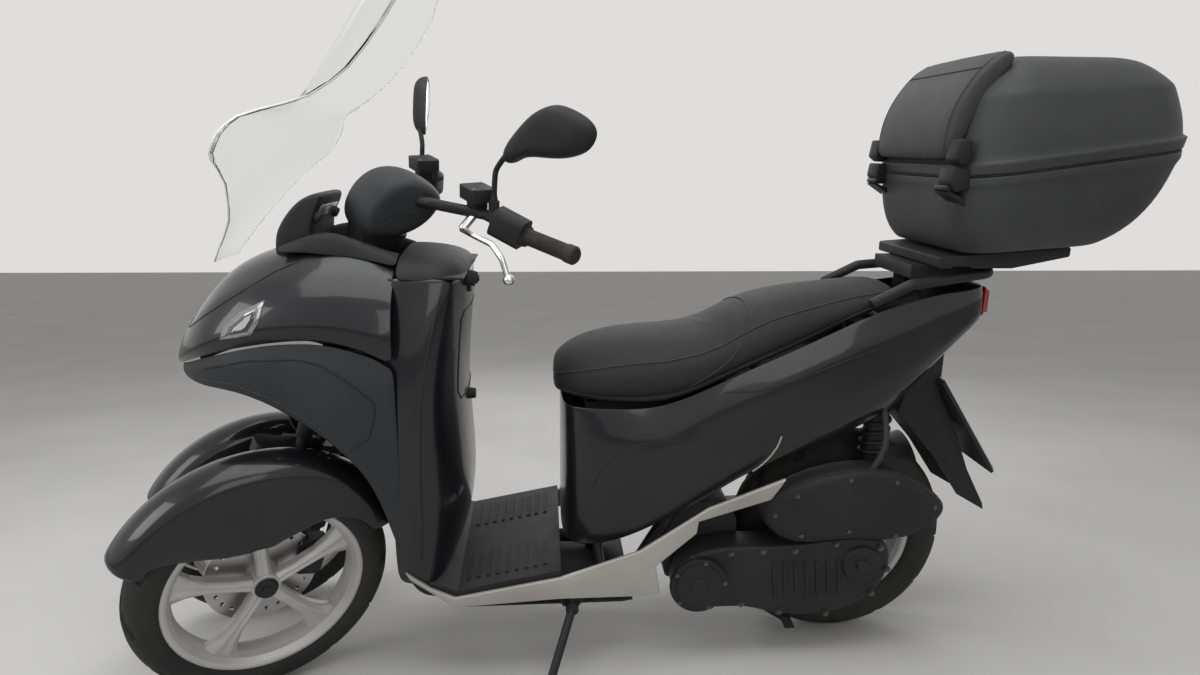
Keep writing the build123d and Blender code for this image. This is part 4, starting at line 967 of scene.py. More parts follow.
def between(rows, steps=4):
    """The same rows with more of them between, for points along seams."""
    fine = []
    for (x0, half0), (x1, half1) in zip(rows, rows[1:]):
        for k in range(steps):
            share = k / steps
            fine.append(
                (
                    x0 + (x1 - x0) * share,
                    [
                        (y0 + (y1 - y0) * share, z0 + (z1 - z0) * share)
                        for (y0, z0), (y1, z1) in zip(half0, half1)
                    ],
                )
            )
    fine.append(rows[-1])
    return fine


class SCOOTER_OT_seat(bpy.types.Operator):
    """Blow up the two-step seat cushion inside its seams and sew its welts"""
    bl_idname = "scooter.seat_cushion"
    bl_label = "Seat"

    def execute(self, context):
        bm = bmesh.new()
        skin(bm, both(SEAT_ROWS), True, True)
        seat = settle(bm, "seat_cushion", "seat_cover", BODY, "seat", level=2)
        tree = tree_of(seat)
        fine = between(SEAT_ROWS)
        welts = {}
        for word, side in SIDES:
            upper = [(x, side * half[3][0], half[3][1]) for x, half in fine]
            welts["upper_" + word] = drape(tree, upper, (0, -side * 0.8, -0.6), 0)
            lower = [(x, side * half[1][0], half[1][1] + 12) for x, half in fine]
            welts["lower_" + word] = drape(tree, lower, (0, -side, 0), 0)
        top = [(252 + 16 * abs(k / 8) ** 2, k * 13, 900) for k in range(-8, 9)]
        welts["step"] = drape(tree, top, (0, 0, -1), 0)
        flank = [
            (268, 800), (276, 770), (289, 742), (306, 718), (328, 698), (356, 678), (389, 657), (420, 640),
            (448, 626),
        ]
        for word, side in SIDES:
            welts["panel_" + word] = drape(tree, [(x, 0, z) for x, z in flank], (0, -side, 0), 0)
        held = [BODY @ point for points in welts.values() for point in points]
        under = BODY.inverted()
        floor_line = [(row[0], row[1][1][1]) for row in SEAT_ROWS]

        def underside(point):
            here = under @ point
            for (x1, z1), (x0, z0) in zip(floor_line, floor_line[1:]):
                if x0 <= here.x <= x1:
                    return here.z < z0 + (z1 - z0) * (here.x - x0) / (x1 - x0) + 8
            return True

        stuffed(seat, 0.009, 5.0, 0.006, held, underside)
        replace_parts(seat, "seat")
        bm = bmesh.new()
        skin(
            bm,
            both(
                [
                    (
                        x,
                        [
                            (0, half[1][1] - 4), (half[1][0] - 6, half[1][1] - 3),
                            (half[1][0] - 1, half[1][1] + 6), (half[1][0] - 3, half[1][1] + 26),
                            (0, half[1][1] + 26),
                        ],
                    )
                    for x, half in SEAT_ROWS
                ]
            ),
            True, True,
        )
        settle(bm, "seat_pan", "black_matte", BODY, "seat", level=1)
        tree = tree_of(seat)
        for name, points in welts.items():
            side = 1 if name.endswith("left") else -1
            if name == "step":
                way = (0, 0, -1)
            elif "upper" in name:
                way = (0, -side * 0.8, -0.6)
            else:
                way = (0, -side, 0)
            laid = drape(tree, points, way, 0.3)
            if len(laid) > 3:
                pipe("seat_welt_" + name, laid, 1.9, "stitch", BODY, "seat")
        return {"FINISHED"}


PAD_OUTLINE = [
    (-104, 1110), (-92, 1108), (-86, 1130), (-88, 1160), (-94, 1192), (-106, 1224), (-123, 1254),
    (-145, 1283), (-166, 1302), (-184, 1314), (-202, 1317), (-210, 1309), (-206, 1296), (-190, 1270),
    (-166, 1236), (-142, 1194), (-126, 1150),
]
PAD_MIDDLE = (-150, 1215)


class SCOOTER_OT_back_pad(bpy.types.Operator):
    """Blow up the backrest pad on the front of the lid"""
    bl_idname = "scooter.backrest"
    bl_label = "Backrest"

    def execute(self, context):
        bm = bmesh.new()
        skin(
            bm,
            shrunk(
                PAD_OUTLINE,
                (
                    (-163, 0.86), (-156, 0.95), (-140, 1), (-70, 1), (0, 1), (70, 1), (140, 1), (156, 0.95),
                    (163, 0.86),
                ),
                PAD_MIDDLE,
            ),
            True, True,
        )
        pad = settle(bm, "backrest_pad", "pad_cover", BODY, "box_lid", level=1)
        tree = tree_of(pad)
        seams = {}
        for word, y in (("left", 146), ("right", -146)):
            line = [(x, y, z) for x, z in PAD_OUTLINE[1:11]]
            seams[word] = drape(tree, line, (-0.9, 0, -0.42), 0)
        across = [(-60, k * 18, 1282) for k in range(-8, 9)]
        seams["top"] = drape(tree, across, (-1, 0, 0), 0)
        held = [BODY @ point for points in seams.values() for point in points]
        under = BODY.inverted()

        def underside(point):
            here = under @ point
            return here.x < -209 or here.x < PAD_MIDDLE[0] + (here.z - PAD_MIDDLE[1]) * -0.7

        stuffed(pad, 0.008, 5.0, 0.0055, held, underside)
        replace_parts(pad, "back_pad")
        tree = tree_of(pad)
        for name, points in seams.items():
            laid = drape(tree, points, (-1, 0, 0) if name == "top" else (-0.9, 0, -0.42), 0.3)
            if len(laid) > 3:
                pipe("pad_seam_" + name, laid, 1.6, "stitch", BODY, "box_lid")
        return {"FINISHED"}


# The rings of the top box tilt about this X
BOX_X = -340
# Top box rings: height at the middle, tilt, front, rear, half width, corner
TRAY_RINGS = [
    (938, 4.4, -160, -420, 164, 50), (944, 4.4, -146, -440, 182, 60), (976, 5, -127, -492, 212, 78),
    (1030, 7, -114, -531, 236, 96), (1082, 7.6, -109, -548, 244, 103), (1094, 7.8, -106, -555, 249, 107),
    (1107, 7.9, -106, -555, 249, 107),
]
LID_RINGS = [
    (1112, 7.9, -106, -556, 249, 107), (1132, 7.9, -105, -559, 252, 108), (1137, 7.9, -111, -552, 245, 104),
    (1180, 6, -118, -548, 238, 100), (1236, 4, -134, -532, 222, 92), (1270, 2.2, -160, -508, 192, 80),
    (1292, 1, -186, -488, 164, 68), (1303, 0.4, -206, -468, 132, 56), (1307, 0, -232, -444, 100, 44),
]


def ring_of(height, tilt, front, rear, half, corner, steps=5):
    swing = math.radians(tilt)
    ring = []
    for x, y, start in ((front - corner, half - corner, 0), (rear + corner, half - corner, 90),
                        (rear + corner, corner - half, 180), (front - corner, corner - half, 270)):
        for k in range(steps + 1):
            turn = math.radians(start + 90 * k / steps)
            along = x + corner * math.cos(turn) - BOX_X
            ring.append(
                (
                    along * math.cos(swing) + BOX_X, y + corner * math.sin(turn),
                    height - along * math.sin(swing),
                )
            )
    return ring


class SCOOTER_OT_top_box(bpy.types.Operator):
    """Shape the top box with its flange, ridge, seam, latches and hinge lugs"""
    bl_idname = "scooter.top_box"
    bl_label = "Top box"

    def execute(self, context):
        for name, rings, node, body, hard in (
            ("box_tray_shell", TRAY_RINGS, "box_tray", "chassis", (4, 5, 6)),
            ("box_lid_shell", LID_RINGS, "box_lid", "box_lid", (0, 1, 2)),
        ):
            bm = bmesh.new()
            bm.edges.layers.float.new("crease_edge")
            chains = skin(bm, [ring_of(*ring) for ring in rings], True)
            for k in hard:
                crease_chain(bm, chains[k], 0.85)
            end = chains[0] if name == "box_tray_shell" else chains[-1]
            cap = bmesh.ops.contextual_create(bm, geom=end)["faces"]
            if name == "box_lid_shell":
                top = [
                    face
                    for face in bm.faces if face.calc_center_median().z > 1240 and face not in cap
                ] + list(cap)
                bmesh.ops.inset_region(bm, faces=top, thickness=7, depth=3.5, use_even_offset=True)
            piece = settle(bm, name, "box_plastic", BODY, body, thick=3.5, level=2)
            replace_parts(piece, node)
        gap = ring_of(1109.3, 7.9, -110, -552, 245, 105)
        pipe("box_seam", gap + gap[:1], 2.4, "seam", order=2)
        bm = bmesh.new()
        for side in (1, -1):
            slab(
                bm, [(-90, 1098), (-86, 1070), (-98, 1050), (-128, 1058), (-132, 1096)], side * 168 - 26,
                side * 168 + 26, 4, 3,
            )
        settle(bm, "hinge_lugs", "black_matte")
        bm = bmesh.new()
        for side in (1, -1):
            slab(
                bm, [(-94, 1150), (-88, 1112), (-104, 1100), (-118, 1106), (-116, 1150)], side * 178 - 22,
                side * 178 + 22, 4, 3,
            )
        settle(bm, "lid_lugs", "black_matte", BODY, "box_lid")
        bm = bmesh.new()
        slab(
            bm, [(-548, 1196), (-554, 1150), (-556, 1096), (-548, 1092), (-540, 1130), (-536, 1190)], -34,
            34, 4, 3,
        )
        settle(bm, "lid_latch", "black_matte", BODY, "box_lid")
        return {"FINISHED"}


# Inner leg shield: X and Y of its half sections by height
SHIELD_ROWS = [
    (256, [(988, 192), (962, 204), (932, 207), (912, 196), (896, 150), (888, 90), (886, 0)]),
    (300, [(990, 200), (964, 212), (934, 214), (910, 202), (884, 150), (868, 96), (864, 0)]),
    (360, [(990, 202), (964, 214), (934, 216), (904, 203), (874, 150), (852, 96), (848, 0)]),
    (430, [(990, 204), (964, 216), (932, 218), (898, 204), (868, 150), (846, 98), (842, 0)]),
    (520, [(990, 208), (964, 220), (930, 222), (896, 206), (872, 150), (850, 98), (846, 0)]),
    (620, [(990, 210), (964, 222), (926, 224), (898, 207), (878, 150), (857, 98), (852, 0)]),
    (700, [(990, 204), (964, 216), (918, 219), (890, 200), (872, 146), (853, 96), (848, 0)]),
    (780, [(990, 188), (964, 200), (906, 203), (878, 186), (862, 138), (844, 92), (840, 0)]),
    (840, [(990, 174), (964, 186), (890, 188), (864, 172), (850, 128), (838, 86), (836, 0)]),
    (879, [(990, 164), (964, 176), (880, 174), (858, 158), (848, 120), (838, 82), (837, 0)]),
    (884, [(988, 158), (962, 170), (884, 168), (866, 152), (856, 116), (846, 78), (845, 0)]),
]


class SCOOTER_OT_leg_shield(bpy.types.Operator):
    """Shape the inner leg shield with the glove box lid, its trims and the floor ribs"""
    bl_idname = "scooter.shield"
    bl_label = "Leg shield"

    def execute(self, context):
        bm = bmesh.new()
        bm.edges.layers.float.new("crease_edge")
        rows = [
            [(x, y, z) for x, y in half] + [(x, -y, z) for x, y in reversed(half) if y > 0]
            for z, half in SHIELD_ROWS
        ]
        chains = skin(bm, rows)
        crease_chain(bm, chains[-2], 0.7)
        shield = settle(bm, "shield_shell", "black_gloss", thick=2.5, level=2)
        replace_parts(shield, "leg_shield")
        tree = tree_of(shield)
        lid = [
            (-112, 790), (-112, 640), (-96, 620), (96, 620), (112, 640), (112, 790), (96, 806), (-96, 806),
            (-112, 790),
        ]
        fine = []
        for (y0, z0), (y1, z1) in zip(lid, lid[1:]):
            steps = max(1, int(math.hypot(y1 - y0, z1 - z0) / 12))
            fine += [(640, y0 + (y1 - y0) * k / steps, z0 + (z1 - z0) * k / steps) for k in range(steps + 1)]
        pipe(
            "glove_lid_seam", drape(tree, fine, (1, 0, 0), 0.2), 1.5, "seam", order=2,
            sides=2,
        )
        bm = bmesh.new()
        for place in ((845, 0, 600), (842, 62, 850), (842, -62, 850)):
            rod(bm, (place[0] + 8, place[1], place[2]), (place[0] - 8, place[1], place[2]), 13, 28, 11)
        settle(bm, "shield_knobs", "black_matte", smooth=False, bevel=1)
        for word, side in SIDES:
            edge = drape(
                tree,
                [
                    (x, side * 300, z)
                    for x, z in ((936, 316), (930, 404), (928, 552), (918, 692), (900, 780), (882, 850))
                ],
                (0, -side, 0), 0.6,
            )
            if len(edge) > 2:
                pipe("shield_trim_" + word, edge, 2.2, "black_matte")
        bm = bmesh.new()
        for k in range(9):
            x = 684 + k * 20
            z = 279.6 - (x - 655) * 40 / 213
            for y in (-118, 118):
                slab(bm, [(x, z), (x + 8, z - 1.6), (x + 8, z + 1.6), (x, z + 3)], y - 52, y + 52)
        settle(bm, "floor_ribs", "black_matte", smooth=False)
        return {"FINISHED"}


HOOD_OUTLINE = [
    (1070, 952), (1086, 976), (1085, 1004), (1066, 1040), (1038, 1066), (1008, 1080), (970, 1082),
    (930, 1064), (906, 1040), (904, 1020), (928, 988), (962, 966), (1002, 952),
]
METER_OUTLINE = [
    (1212, 902), (1211, 930), (1208, 960), (1190, 990), (1170, 1014), (1148, 1031), (1122, 1038),
    (1112, 1034), (1120, 1012), (1134, 990), (1138, 950), (1140, 906),
]
# Trim along the top of the cowl beside the meter: X, then Y and Z from outside in
TRIM_ROWS = [
    (1196, [(122, 925), (116, 934), (96, 938), (84, 930), (78, 900)]),
    (1160, [(124, 928), (118, 946), (100, 954), (86, 946), (80, 900)]),
    (1112, [(126, 922), (118, 958), (104, 970), (90, 962), (84, 896)]),
    (1069, [(128, 918), (120, 950), (106, 961), (92, 954), (86, 892)]),
    (1014, [(132, 912), (124, 930), (108, 938), (94, 932), (88, 886)]),
    (966, [(138, 898), (128, 914), (108, 922), (92, 922), (86, 880)]),
]
CROWN_ROWS = [
    (966, [(176, 880), (168, 898), (140, 914), (100, 922), (50, 926), (0, 927)]),
    (930, [(176, 880), (167, 898), (140, 913), (100, 921), (50, 925), (0, 926)]),
    (890, [(172, 880), (160, 896), (132, 909), (94, 917), (46, 921), (0, 922)]),
    (856, [(150, 880), (138, 892), (112, 902), (80, 909), (40, 913), (0, 914)]),
    (840, [(112, 880), (100, 886), (84, 892), (60, 897), (30, 900), (0, 901)]),
    (836, [(84, 878), (76, 880), (62, 883), (44, 886), (22, 888), (0, 889)]),
]
# Boot round the steering column: distance up its line and radius
BOOT = [(940, 44), (962, 48), (986, 52), (1010, 58), (1030, 60)]


class SCOOTER_OT_dash_trims(bpy.types.Operator):
    """Shape the trims beside the meter and the crown of the dash"""
    bl_idname = "scooter.dash_trims"
    bl_label = "Dash trims"

    def execute(self, context):
        bm = bmesh.new()
        for side in (1, -1):
            skin(bm, sided(TRIM_ROWS, side))
        settle(bm, "dash_side_trims", "black_matte", thick=2, level=2)
        bm = bmesh.new()
        skin(bm, both(CROWN_ROWS))
        settle(bm, "dash_crown", "black_matte", thick=2, level=2)
        bm = bmesh.new()
        rod(bm, (846, 74, 872), (822, 74, 866), 17, 28, 15)
        rod(bm, (824, 74, 867), (818, 74, 865.5), 9, 24)
        slab(bm, [(819, 868), (816, 868), (816, 863), (819, 863)], 68, 80, 0.5)
        settle(bm, "key_switch", "black_matte", smooth=False, bevel=0.8)
        bm = bmesh.new()
        for (t0, r0), (t1, r1) in zip(BOOT, BOOT[1:]):
            foot, head = ((KING_FOOT + t * COLUMN_WAY[0], 0, t * COLUMN_WAY[1]) for t in (t0, t1))
            rod(bm, foot, head, r0, 40, r1)
        settle(bm, "column_boot", "black_matte", BAR, "handlebar", smooth=False, bevel=1.5)
        return {"FINISHED"}


# A mirror seen from behind: out along its width and up from its foot, and the middle it shrinks to
MIRROR_OUTLINE = [
    (-10, 2), (-4, 32), (26, 67), (58, 102), (97, 122), (125, 124), (174, 111), (195, 94), (197, 78),
    (186, 55), (162, 40), (124, 28), (75, 25), (40, 20), (20, 2),
]
MIRROR_MIDDLE = (96, 70)


def in_mirror(share):
    """The mirror's outline at a share of its size."""
    u0, v0 = MIRROR_MIDDLE
    return [(u0 + (u - u0) * share, v0 + (v - v0) * share) for u, v in MIRROR_OUTLINE]


class SCOOTER_OT_controls(bpy.types.Operator):
    """Shape the bar cover, meter hood, mirrors, grips and switches"""
    bl_idname = "scooter.controls"
    bl_label = "Controls"

    def execute(self, context):
        hood = crowned(
            "bar_hood", HOOD_OUTLINE,
            (
                (-80, 0.62), (-76, 0.8), (-60, 0.93), (-30, 0.99), (0, 1), (30, 0.99), (60, 0.93), (76, 0.8),
                (80, 0.62),
            ),
            (995, 1016), "grey_matte", BAR, "handlebar",
        )
        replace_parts(hood, "bar_cover")
        tree = tree_of(hood)
        line_on(
            "hood_seam", tree, [(1060, 1000), (1010, 1010), (960, 1006), (920, 1020)], "seam", 1.3,
            place=BAR, body="handlebar",
        )
        meter = crowned(
            "meter_hood", METER_OUTLINE,
            ((-90, 0.9), (-84, 0.98), (-50, 1), (0, 1), (50, 1), (84, 0.98), (90, 0.9)), (1160, 965),
            "black_matte",
        )
        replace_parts(meter, "meter")
        bm = bmesh.new()
        slab(bm, [(1135, 988), (1121, 1012), (1119.5, 1011), (1133, 987)], -62, 62, 0.6, 2)
        settle(bm, "meter_display", "display")
        bm = bmesh.new()
        for y in (-70, 70):
            rod(bm, (1136, y, 992), (1124, y, 986), 12, 24, 10)
        settle(bm, "meter_buttons", "grip_rubber", smooth=False, bevel=1)
        turn = math.radians(25)
        for word, side, head_x, head_y, head_z in (
            ("left", 1, 848, 220, 1128), ("right", -1, 845, 214, 1104),
        ):
            wide = Vector((-math.sin(turn), side * math.cos(turn), 0))
            rear = Vector((-math.cos(turn), -side * math.sin(turn), 0))
            place = Vector((head_x, side * head_y, head_z)) + rear * 8
            bm = bmesh.new()
            rows = [
                [place - rear * deep + wide * u + Vector((0, 0, v)) for u, v in in_mirror(share)]
                for deep, share in (
                    (1, 0.93), (0, 0.99), (4, 1), (14, 0.97), (24, 0.86), (31, 0.66), (33, 0.4)
                )
            ]
            skin(bm, rows, True, True)
            shell = settle(bm, f"mirror_head_{word}", "black_matte", BAR, "handlebar", level=2)
            if side > 0:
                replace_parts(shell, "mirrors")
            bm = bmesh.new()
            glass = [place + rear * 0.2 + wide * u + Vector((0, 0, v)) for u, v in in_mirror(0.86)]
            bmesh.ops.contextual_create(bm, geom=chain(bm, glass, True))
            settle(bm, f"mirror_glass_{word}", "mirror_glass", BAR, "handlebar", thick=1, level=2)
            foot = Vector((856, side * 190, 1030))
            knee = Vector((856, side * 190, head_z - 30))
            pipe(
                f"mirror_stem_{word}",
                [
                    foot, knee, Vector((852, side * 194, head_z - 8)),
                    place - rear * 16 + wide * 14 + Vector((0, 0, 26)),
                ],
                5.5, "frame_paint", BAR, "handlebar", sides=4,
            )
            bm = bmesh.new()
            rod(bm, foot, foot + Vector((0, 0, 22)), 11, 6)
            rod(bm, foot + Vector((0, 0, 20)), foot + Vector((0, 0, 34)), 8, 20, 6)
            settle(
                bm, f"mirror_nut_{word}", "frame_paint", BAR, "handlebar", smooth=False,
                bevel=0.6,
            )
            start = Vector((812, side * 235, 990))
            end = Vector((776, side * 352, 983))
            run = (end - start).normalized()
            bm = bmesh.new()
            length = (end - start).length
            section = [(0, 0, 11), (0, 3, 22), (0, 7, 22), (0, 9, 16.6)]
            reach = 12.0
            while reach < length - 12:
                section += [
                    (0, reach, 15.6), (0, reach + 1.2, 16.6), (0, reach + 3.6, 16.6), (0, reach + 4.8, 15.6),
                ]
                reach += 6.0
            section += [
                (0, length - 8, 16), (0, length - 6, 18.5), (0, length + 11, 18.5), (0, length + 15, 15),
                (0, length + 15, 0.5),
            ]
            chain(bm, section)
            spin(bm, 28)
            aim = Matrix.Translation(start) @ run.to_track_quat("Y", "Z").to_matrix().to_4x4()
            bm.transform(aim)
            grip = settle(bm, f"grip_{word}", "grip_rubber", BAR, "handlebar", smooth=False)
            if side > 0:
                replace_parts(grip, "grips")
            bm = bmesh.new()
            middle = Vector((838, side * 196, 1006))
            for shift, radius in ((-14, 7), (4, 6), (18, 5)):
                spot = middle + Vector((-shift * 0.25, side * shift, 4))
                rod(bm, spot + Vector((-18, 0, 0)), spot + Vector((-31, 0, 4)), radius, 18, radius * 0.8)
            settle(
                bm, f"switch_buttons_{word}", "grey_matte", BAR, "handlebar",
                smooth=False, bevel=0.8,
            )
            bm = bmesh.new()
            tank = Vector((870, side * 143, 1070))
            for dx, dy in ((-18, -25), (18, 25)):
                bolt(bm, tank + Vector((dx, dy, 0)), (0, 0, 1), 3, 2.4)
            settle(bm, f"tank_screws_{word}", "steel", BAR, "handlebar", smooth=False)
        return {"FINISHED"}


AIR_OUTLINE = [
    (236, 372), (222, 402), (180, 444), (120, 468), (56, 481), (-4, 483), (-60, 473), (-118, 440),
    (-168, 400), (-176, 380), (-168, 358), (-126, 330), (-78, 308), (-20, 312), (40, 318), (100, 312),
    (150, 308), (204, 326),
]
CASE_OUTLINE = [
    (418, 214), (404, 252), (376, 282), (330, 297), (280, 301), (214, 299), (150, 301), (90, 308), (30, 315),
    (-24, 314), (-60, 298), (-74, 262), (-70, 222), (-46, 176), (8, 140), (70, 124), (130, 124), (184, 130),
    (222, 142), (262, 152), (320, 151), (378, 152), (408, 178),
]


class SCOOTER_OT_drive_details(bpy.types.Operator):
    """Dress the drive case, air box, shocks, exhaust and rear end"""
    bl_idname = "scooter.drive"
    bl_label = "Drive details"

    def execute(self, context):
        air = crowned(
            "air_box_shell", AIR_OUTLINE,
            ((124, 0.9), (130, 0.98), (150, 1), (170, 0.99), (184, 0.93), (190, 0.8), (191, 0.5)), (30, 392),
            "black_matte",
        )
        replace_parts(air, "air_box")
        case = crowned(
            "drive_case_shell", CASE_OUTLINE,
            ((90, 0.97), (96, 1), (140, 1), (158, 0.99), (166, 0.95), (169, 0.86)), (168, 222), "case_paint",
        )
        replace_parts(case, "drive_case")
        air_tree = tree_of(air)
        seam = [
            (AIR_OUTLINE[k - 1][0] * 0.93 + 2, AIR_OUTLINE[k - 1][1] * 0.93 + 27)
            for k in range(len(AIR_OUTLINE) + 1)
        ]
        line_on("air_box_seam", air_tree, seam, "seam", 1.5, sides=(1,))
        bm = bmesh.new()
        rod(bm, (0, 60, REAR_R), (0, 96, REAR_R), 50, 40)
        rod(bm, (0, 62, REAR_R), (0, -58, REAR_R), 10, 24)
        settle(bm, "final_drive_boss", "case_paint", smooth=False, bevel=1.5)
        bm = bmesh.new()
        for radius, reach, y in ((64, 62, 182), (52, 50, 185), (20, 18, 188)):
            rod(bm, (CRANK[0], y - 8, CRANK[1]), (CRANK[0], y, CRANK[1]), radius, 48, reach)
        rod(bm, (0, 168, REAR_R), (0, 176, REAR_R), 44, 40, 40)
        rod(bm, (0, 174, REAR_R), (0, 184, REAR_R), 16, 30, 13)
        settle(bm, "case_covers", "case_paint", smooth=False, bevel=1.5)
        bm = bmesh.new()
        for x, z in (
            (395, 204), (372, 276), (290, 286), (220, 288), (150, 287), (60, 300), (-40, 288), (-60, 236),
            (-30, 178), (70, 132), (176, 140), (262, 162), (330, 160),
        ):
            bolt(bm, (x, 168, z), (0, 1, 0), 5.5, 6)
        for k in range(5):
            turn = math.radians(30 + 72 * k)
            spot = (CRANK[0] + 56 * math.cos(turn), 182, CRANK[1] + 56 * math.sin(turn))
            bolt(bm, spot, (0, 1, 0), 4, 4)
        for spot in drape(
            air_tree,
            [
                (x, 0, z)
                for x, z in (
                    (204, 380), (160, 424), (50, 458), (-50, 450), (-140, 390), (-60, 328), (44, 342),
                    (146, 334),
                )
            ],
            (0, -1, 0), -1.5,
        ):
            bolt(bm, spot, (0, 1, 0), 4.5, 4)
        settle(bm, "case_bolts", "dark_steel", smooth=False)
        bm = bmesh.new()
        for k in range(7):
            x = 40 + k * 24
            slab(bm, [(x, 178), (x + 7, 178), (x + 16, 262), (x + 9, 262)], 166, 172)
        settle(bm, "case_ribs", "case_paint", smooth=False, bevel=1.2)
        for word, side in SIDES:
            coils = []
            low, high = Vector((-30, side * 97, 444)), Vector((-36, side * 97, 596))
            for k in range(7 * 12 + 1):
                turn = math.tau * k / 12
                share = k / (7 * 12)
                coils.append(low.lerp(high, share) + Vector((math.cos(turn) * 29, math.sin(turn) * 29, 0)))
            pipe("shock_spring_" + word, coils, 4.2, "frame_paint")
        pipe(
            "breather_hose",
            [(16, 158, 446), (0, 178, 476), (-26, 170, 520), (-34, 150, 560), (-30, 132, 600)], 7, "hose",
            sides=4,
        )
        bm = bmesh.new()
        axis = Vector((-320, 0, 106)).normalized()
        rod(bm, Vector((20, -190, 267)), Vector((20, -190, 267)) + axis * 200, 61.5, 48)
        rod(bm, Vector((-258, -190, 359)), Vector((-258, -190, 359)) - axis * 16, 57, 48, 50)
        settle(bm, "muffler_shield", "black_matte", bevel=2)
        bm = bmesh.new()
        rod(bm, Vector((-250, -190, 357)), Vector((-250, -190, 357)) + axis * 10, 14, 24)
        settle(bm, "muffler_outlet", "steel", smooth=False, bevel=1)
        return {"FINISHED"}


class SCOOTER_OT_front_lines(bpy.types.Operator):
    """Run the brake lines of the front calipers and dress the linkage"""
    bl_idname = "scooter.front_lines"
    bl_label = "Front lines"

    def execute(self, context):
        rake = math.radians(RAKE)
        for word, side in SIDES:
            inner = side * (HUB[1] - 76)
            line = []
            for along, ahead, y in (
                (300, -92, inner + side * 42), (360, -104, inner + side * 30), (430, -84, inner + side * 8),
                (500, -74, inner), (552, -66, inner - side * 6),
            ):
                line.append(
                    (
                        KING_FOOT - along * math.sin(rake) + ahead * math.cos(rake), y,
                        along * math.cos(rake) + ahead * math.sin(rake),
                    )
                )
            pipe("brake_line_" + word, line, 4, "hose", KNUCKLE[word], f"knuckle_{word}")
            bm = bmesh.new()
            disc = Vector((HUB[0], side * 168.5, HUB[2]))
            for k in range(6):
                turn = math.radians(60 * k + 10)
                spot = disc + Vector((math.cos(turn) * 30, -side * 6, math.sin(turn) * 30))
                bolt(bm, spot, (0, -side, 0), 4.5, 4)
            bm.transform(FRONT_WHEEL[word] @ Matrix.Translation((-HUB[0], -side * HUB[1], -HUB[2])))
            settle(
                bm, "disc_bolts_" + word, "steel", Matrix.Scale(1, 4), f"front_wheel_{word}", smooth=False,
                normals=False, doubles=0.00001,
            )
        for number, (start, middle, end) in enumerate(
            (
                ((1190, 20, 660), (1222, 46, 600), (1196, 30, 520)),
                ((1180, -30, 660), (1222, -70, 610), (1190, -30, 540)),
                ((1170, 60, 690), (1212, 96, 650), (1176, 80, 590)),
            )
        ):
            pipe(
                f"linkage_hose_{number}",
                [
                    start, ((start[0] + middle[0]) / 2 + 12, middle[1], start[2] - 20), middle,
                    ((end[0] + middle[0]) / 2 + 14, middle[1], end[2] + 20), end,
                ],
                5, "hose",
            )
        return {"FINISHED"}


class SCOOTER_OT_lamps(bpy.types.Operator):
    """Lay lamp lenses, reflectors and the blank plate"""
    bl_idname = "scooter.lamps"
    bl_label = "Lamps"

    def execute(self, context):
        cowl = tree_of(bpy.data.objects["upper_cowl"])
        for word, side in SIDES:
            patch(
                "side_lens_" + word, cowl,
                [(1286, 775), (1276, 800), (1244, 827), (1200, 848), (1207, 812), (1224, 786)], "lens", side,
                2.4,
            )
            patch(
                "lens_core_" + word, cowl,
                [(1274, 782), (1266, 798), (1240, 818), (1212, 832), (1217, 813), (1230, 793)], "dark_lens",
                side, 3.2, 0.9,
            )
        for word, side in SIDES:
            for name, share, finish, lift in (("rim", 1, "lens", 0.5), ("glass", 0.84, "dark_lens", 1.6)):
                outline = [(10, 748), (44, 752), (84, 772), (108, 800), (78, 812), (34, 802), (10, 792)]
                laid = drape(
                    cowl,
                    [(1500, side * (52 + (y - 52) * share), 782 + (z - 782) * share) for y, z in outline],
                    (-1, 0, 0), lift,
                )
                bm = bmesh.new()
                bmesh.ops.contextual_create(bm, geom=chain(bm, laid, True))
                bmesh.ops.triangulate(bm, faces=bm.faces[:])
                bmesh.ops.subdivide_edges(bm, edges=bm.edges[:], cuts=3, use_grid_fill=True)
                for vert in bm.verts:
                    near = drape(cowl, [(1500, vert.co.y, vert.co.z)], (-1, 0, 0), lift)
                    if near:
                        vert.co = near[0]
                settle(bm, f"head_lens_{name}_{word}", finish, thick=1.2)
        bm = bmesh.new()
        for side in (1, -1):
            for k in range(3):
                slab(
                    bm,
                    [
                        (-268, 786 + k * 18), (-276.5, 788 + k * 18), (-276.5, 800 + k * 18),
                        (-268, 800 + k * 18),
                    ],
                    side * 34 - 26, side * 34 + 26, 1, 2,
                )
        settle(bm, "tail_lens_bars", "lamp")
        bm = bmesh.new()
        slab(bm, [(-186, 642), (-326, 430), (-323.5, 428.4), (-183.5, 640.4)], -88, 88, 0.4, 2)
        bmesh.ops.translate(bm, verts=bm.verts, vec=(-1.5, 0, 1))
        settle(bm, "blank_plate", "plate")
        bm = bmesh.new()
        for y in (-75, 75):
            bolt(bm, (-256, y, 538), (-212, 0, 139), 5, 4)
        settle(bm, "plate_screws", "steel", smooth=False)
        return {"FINISHED"}


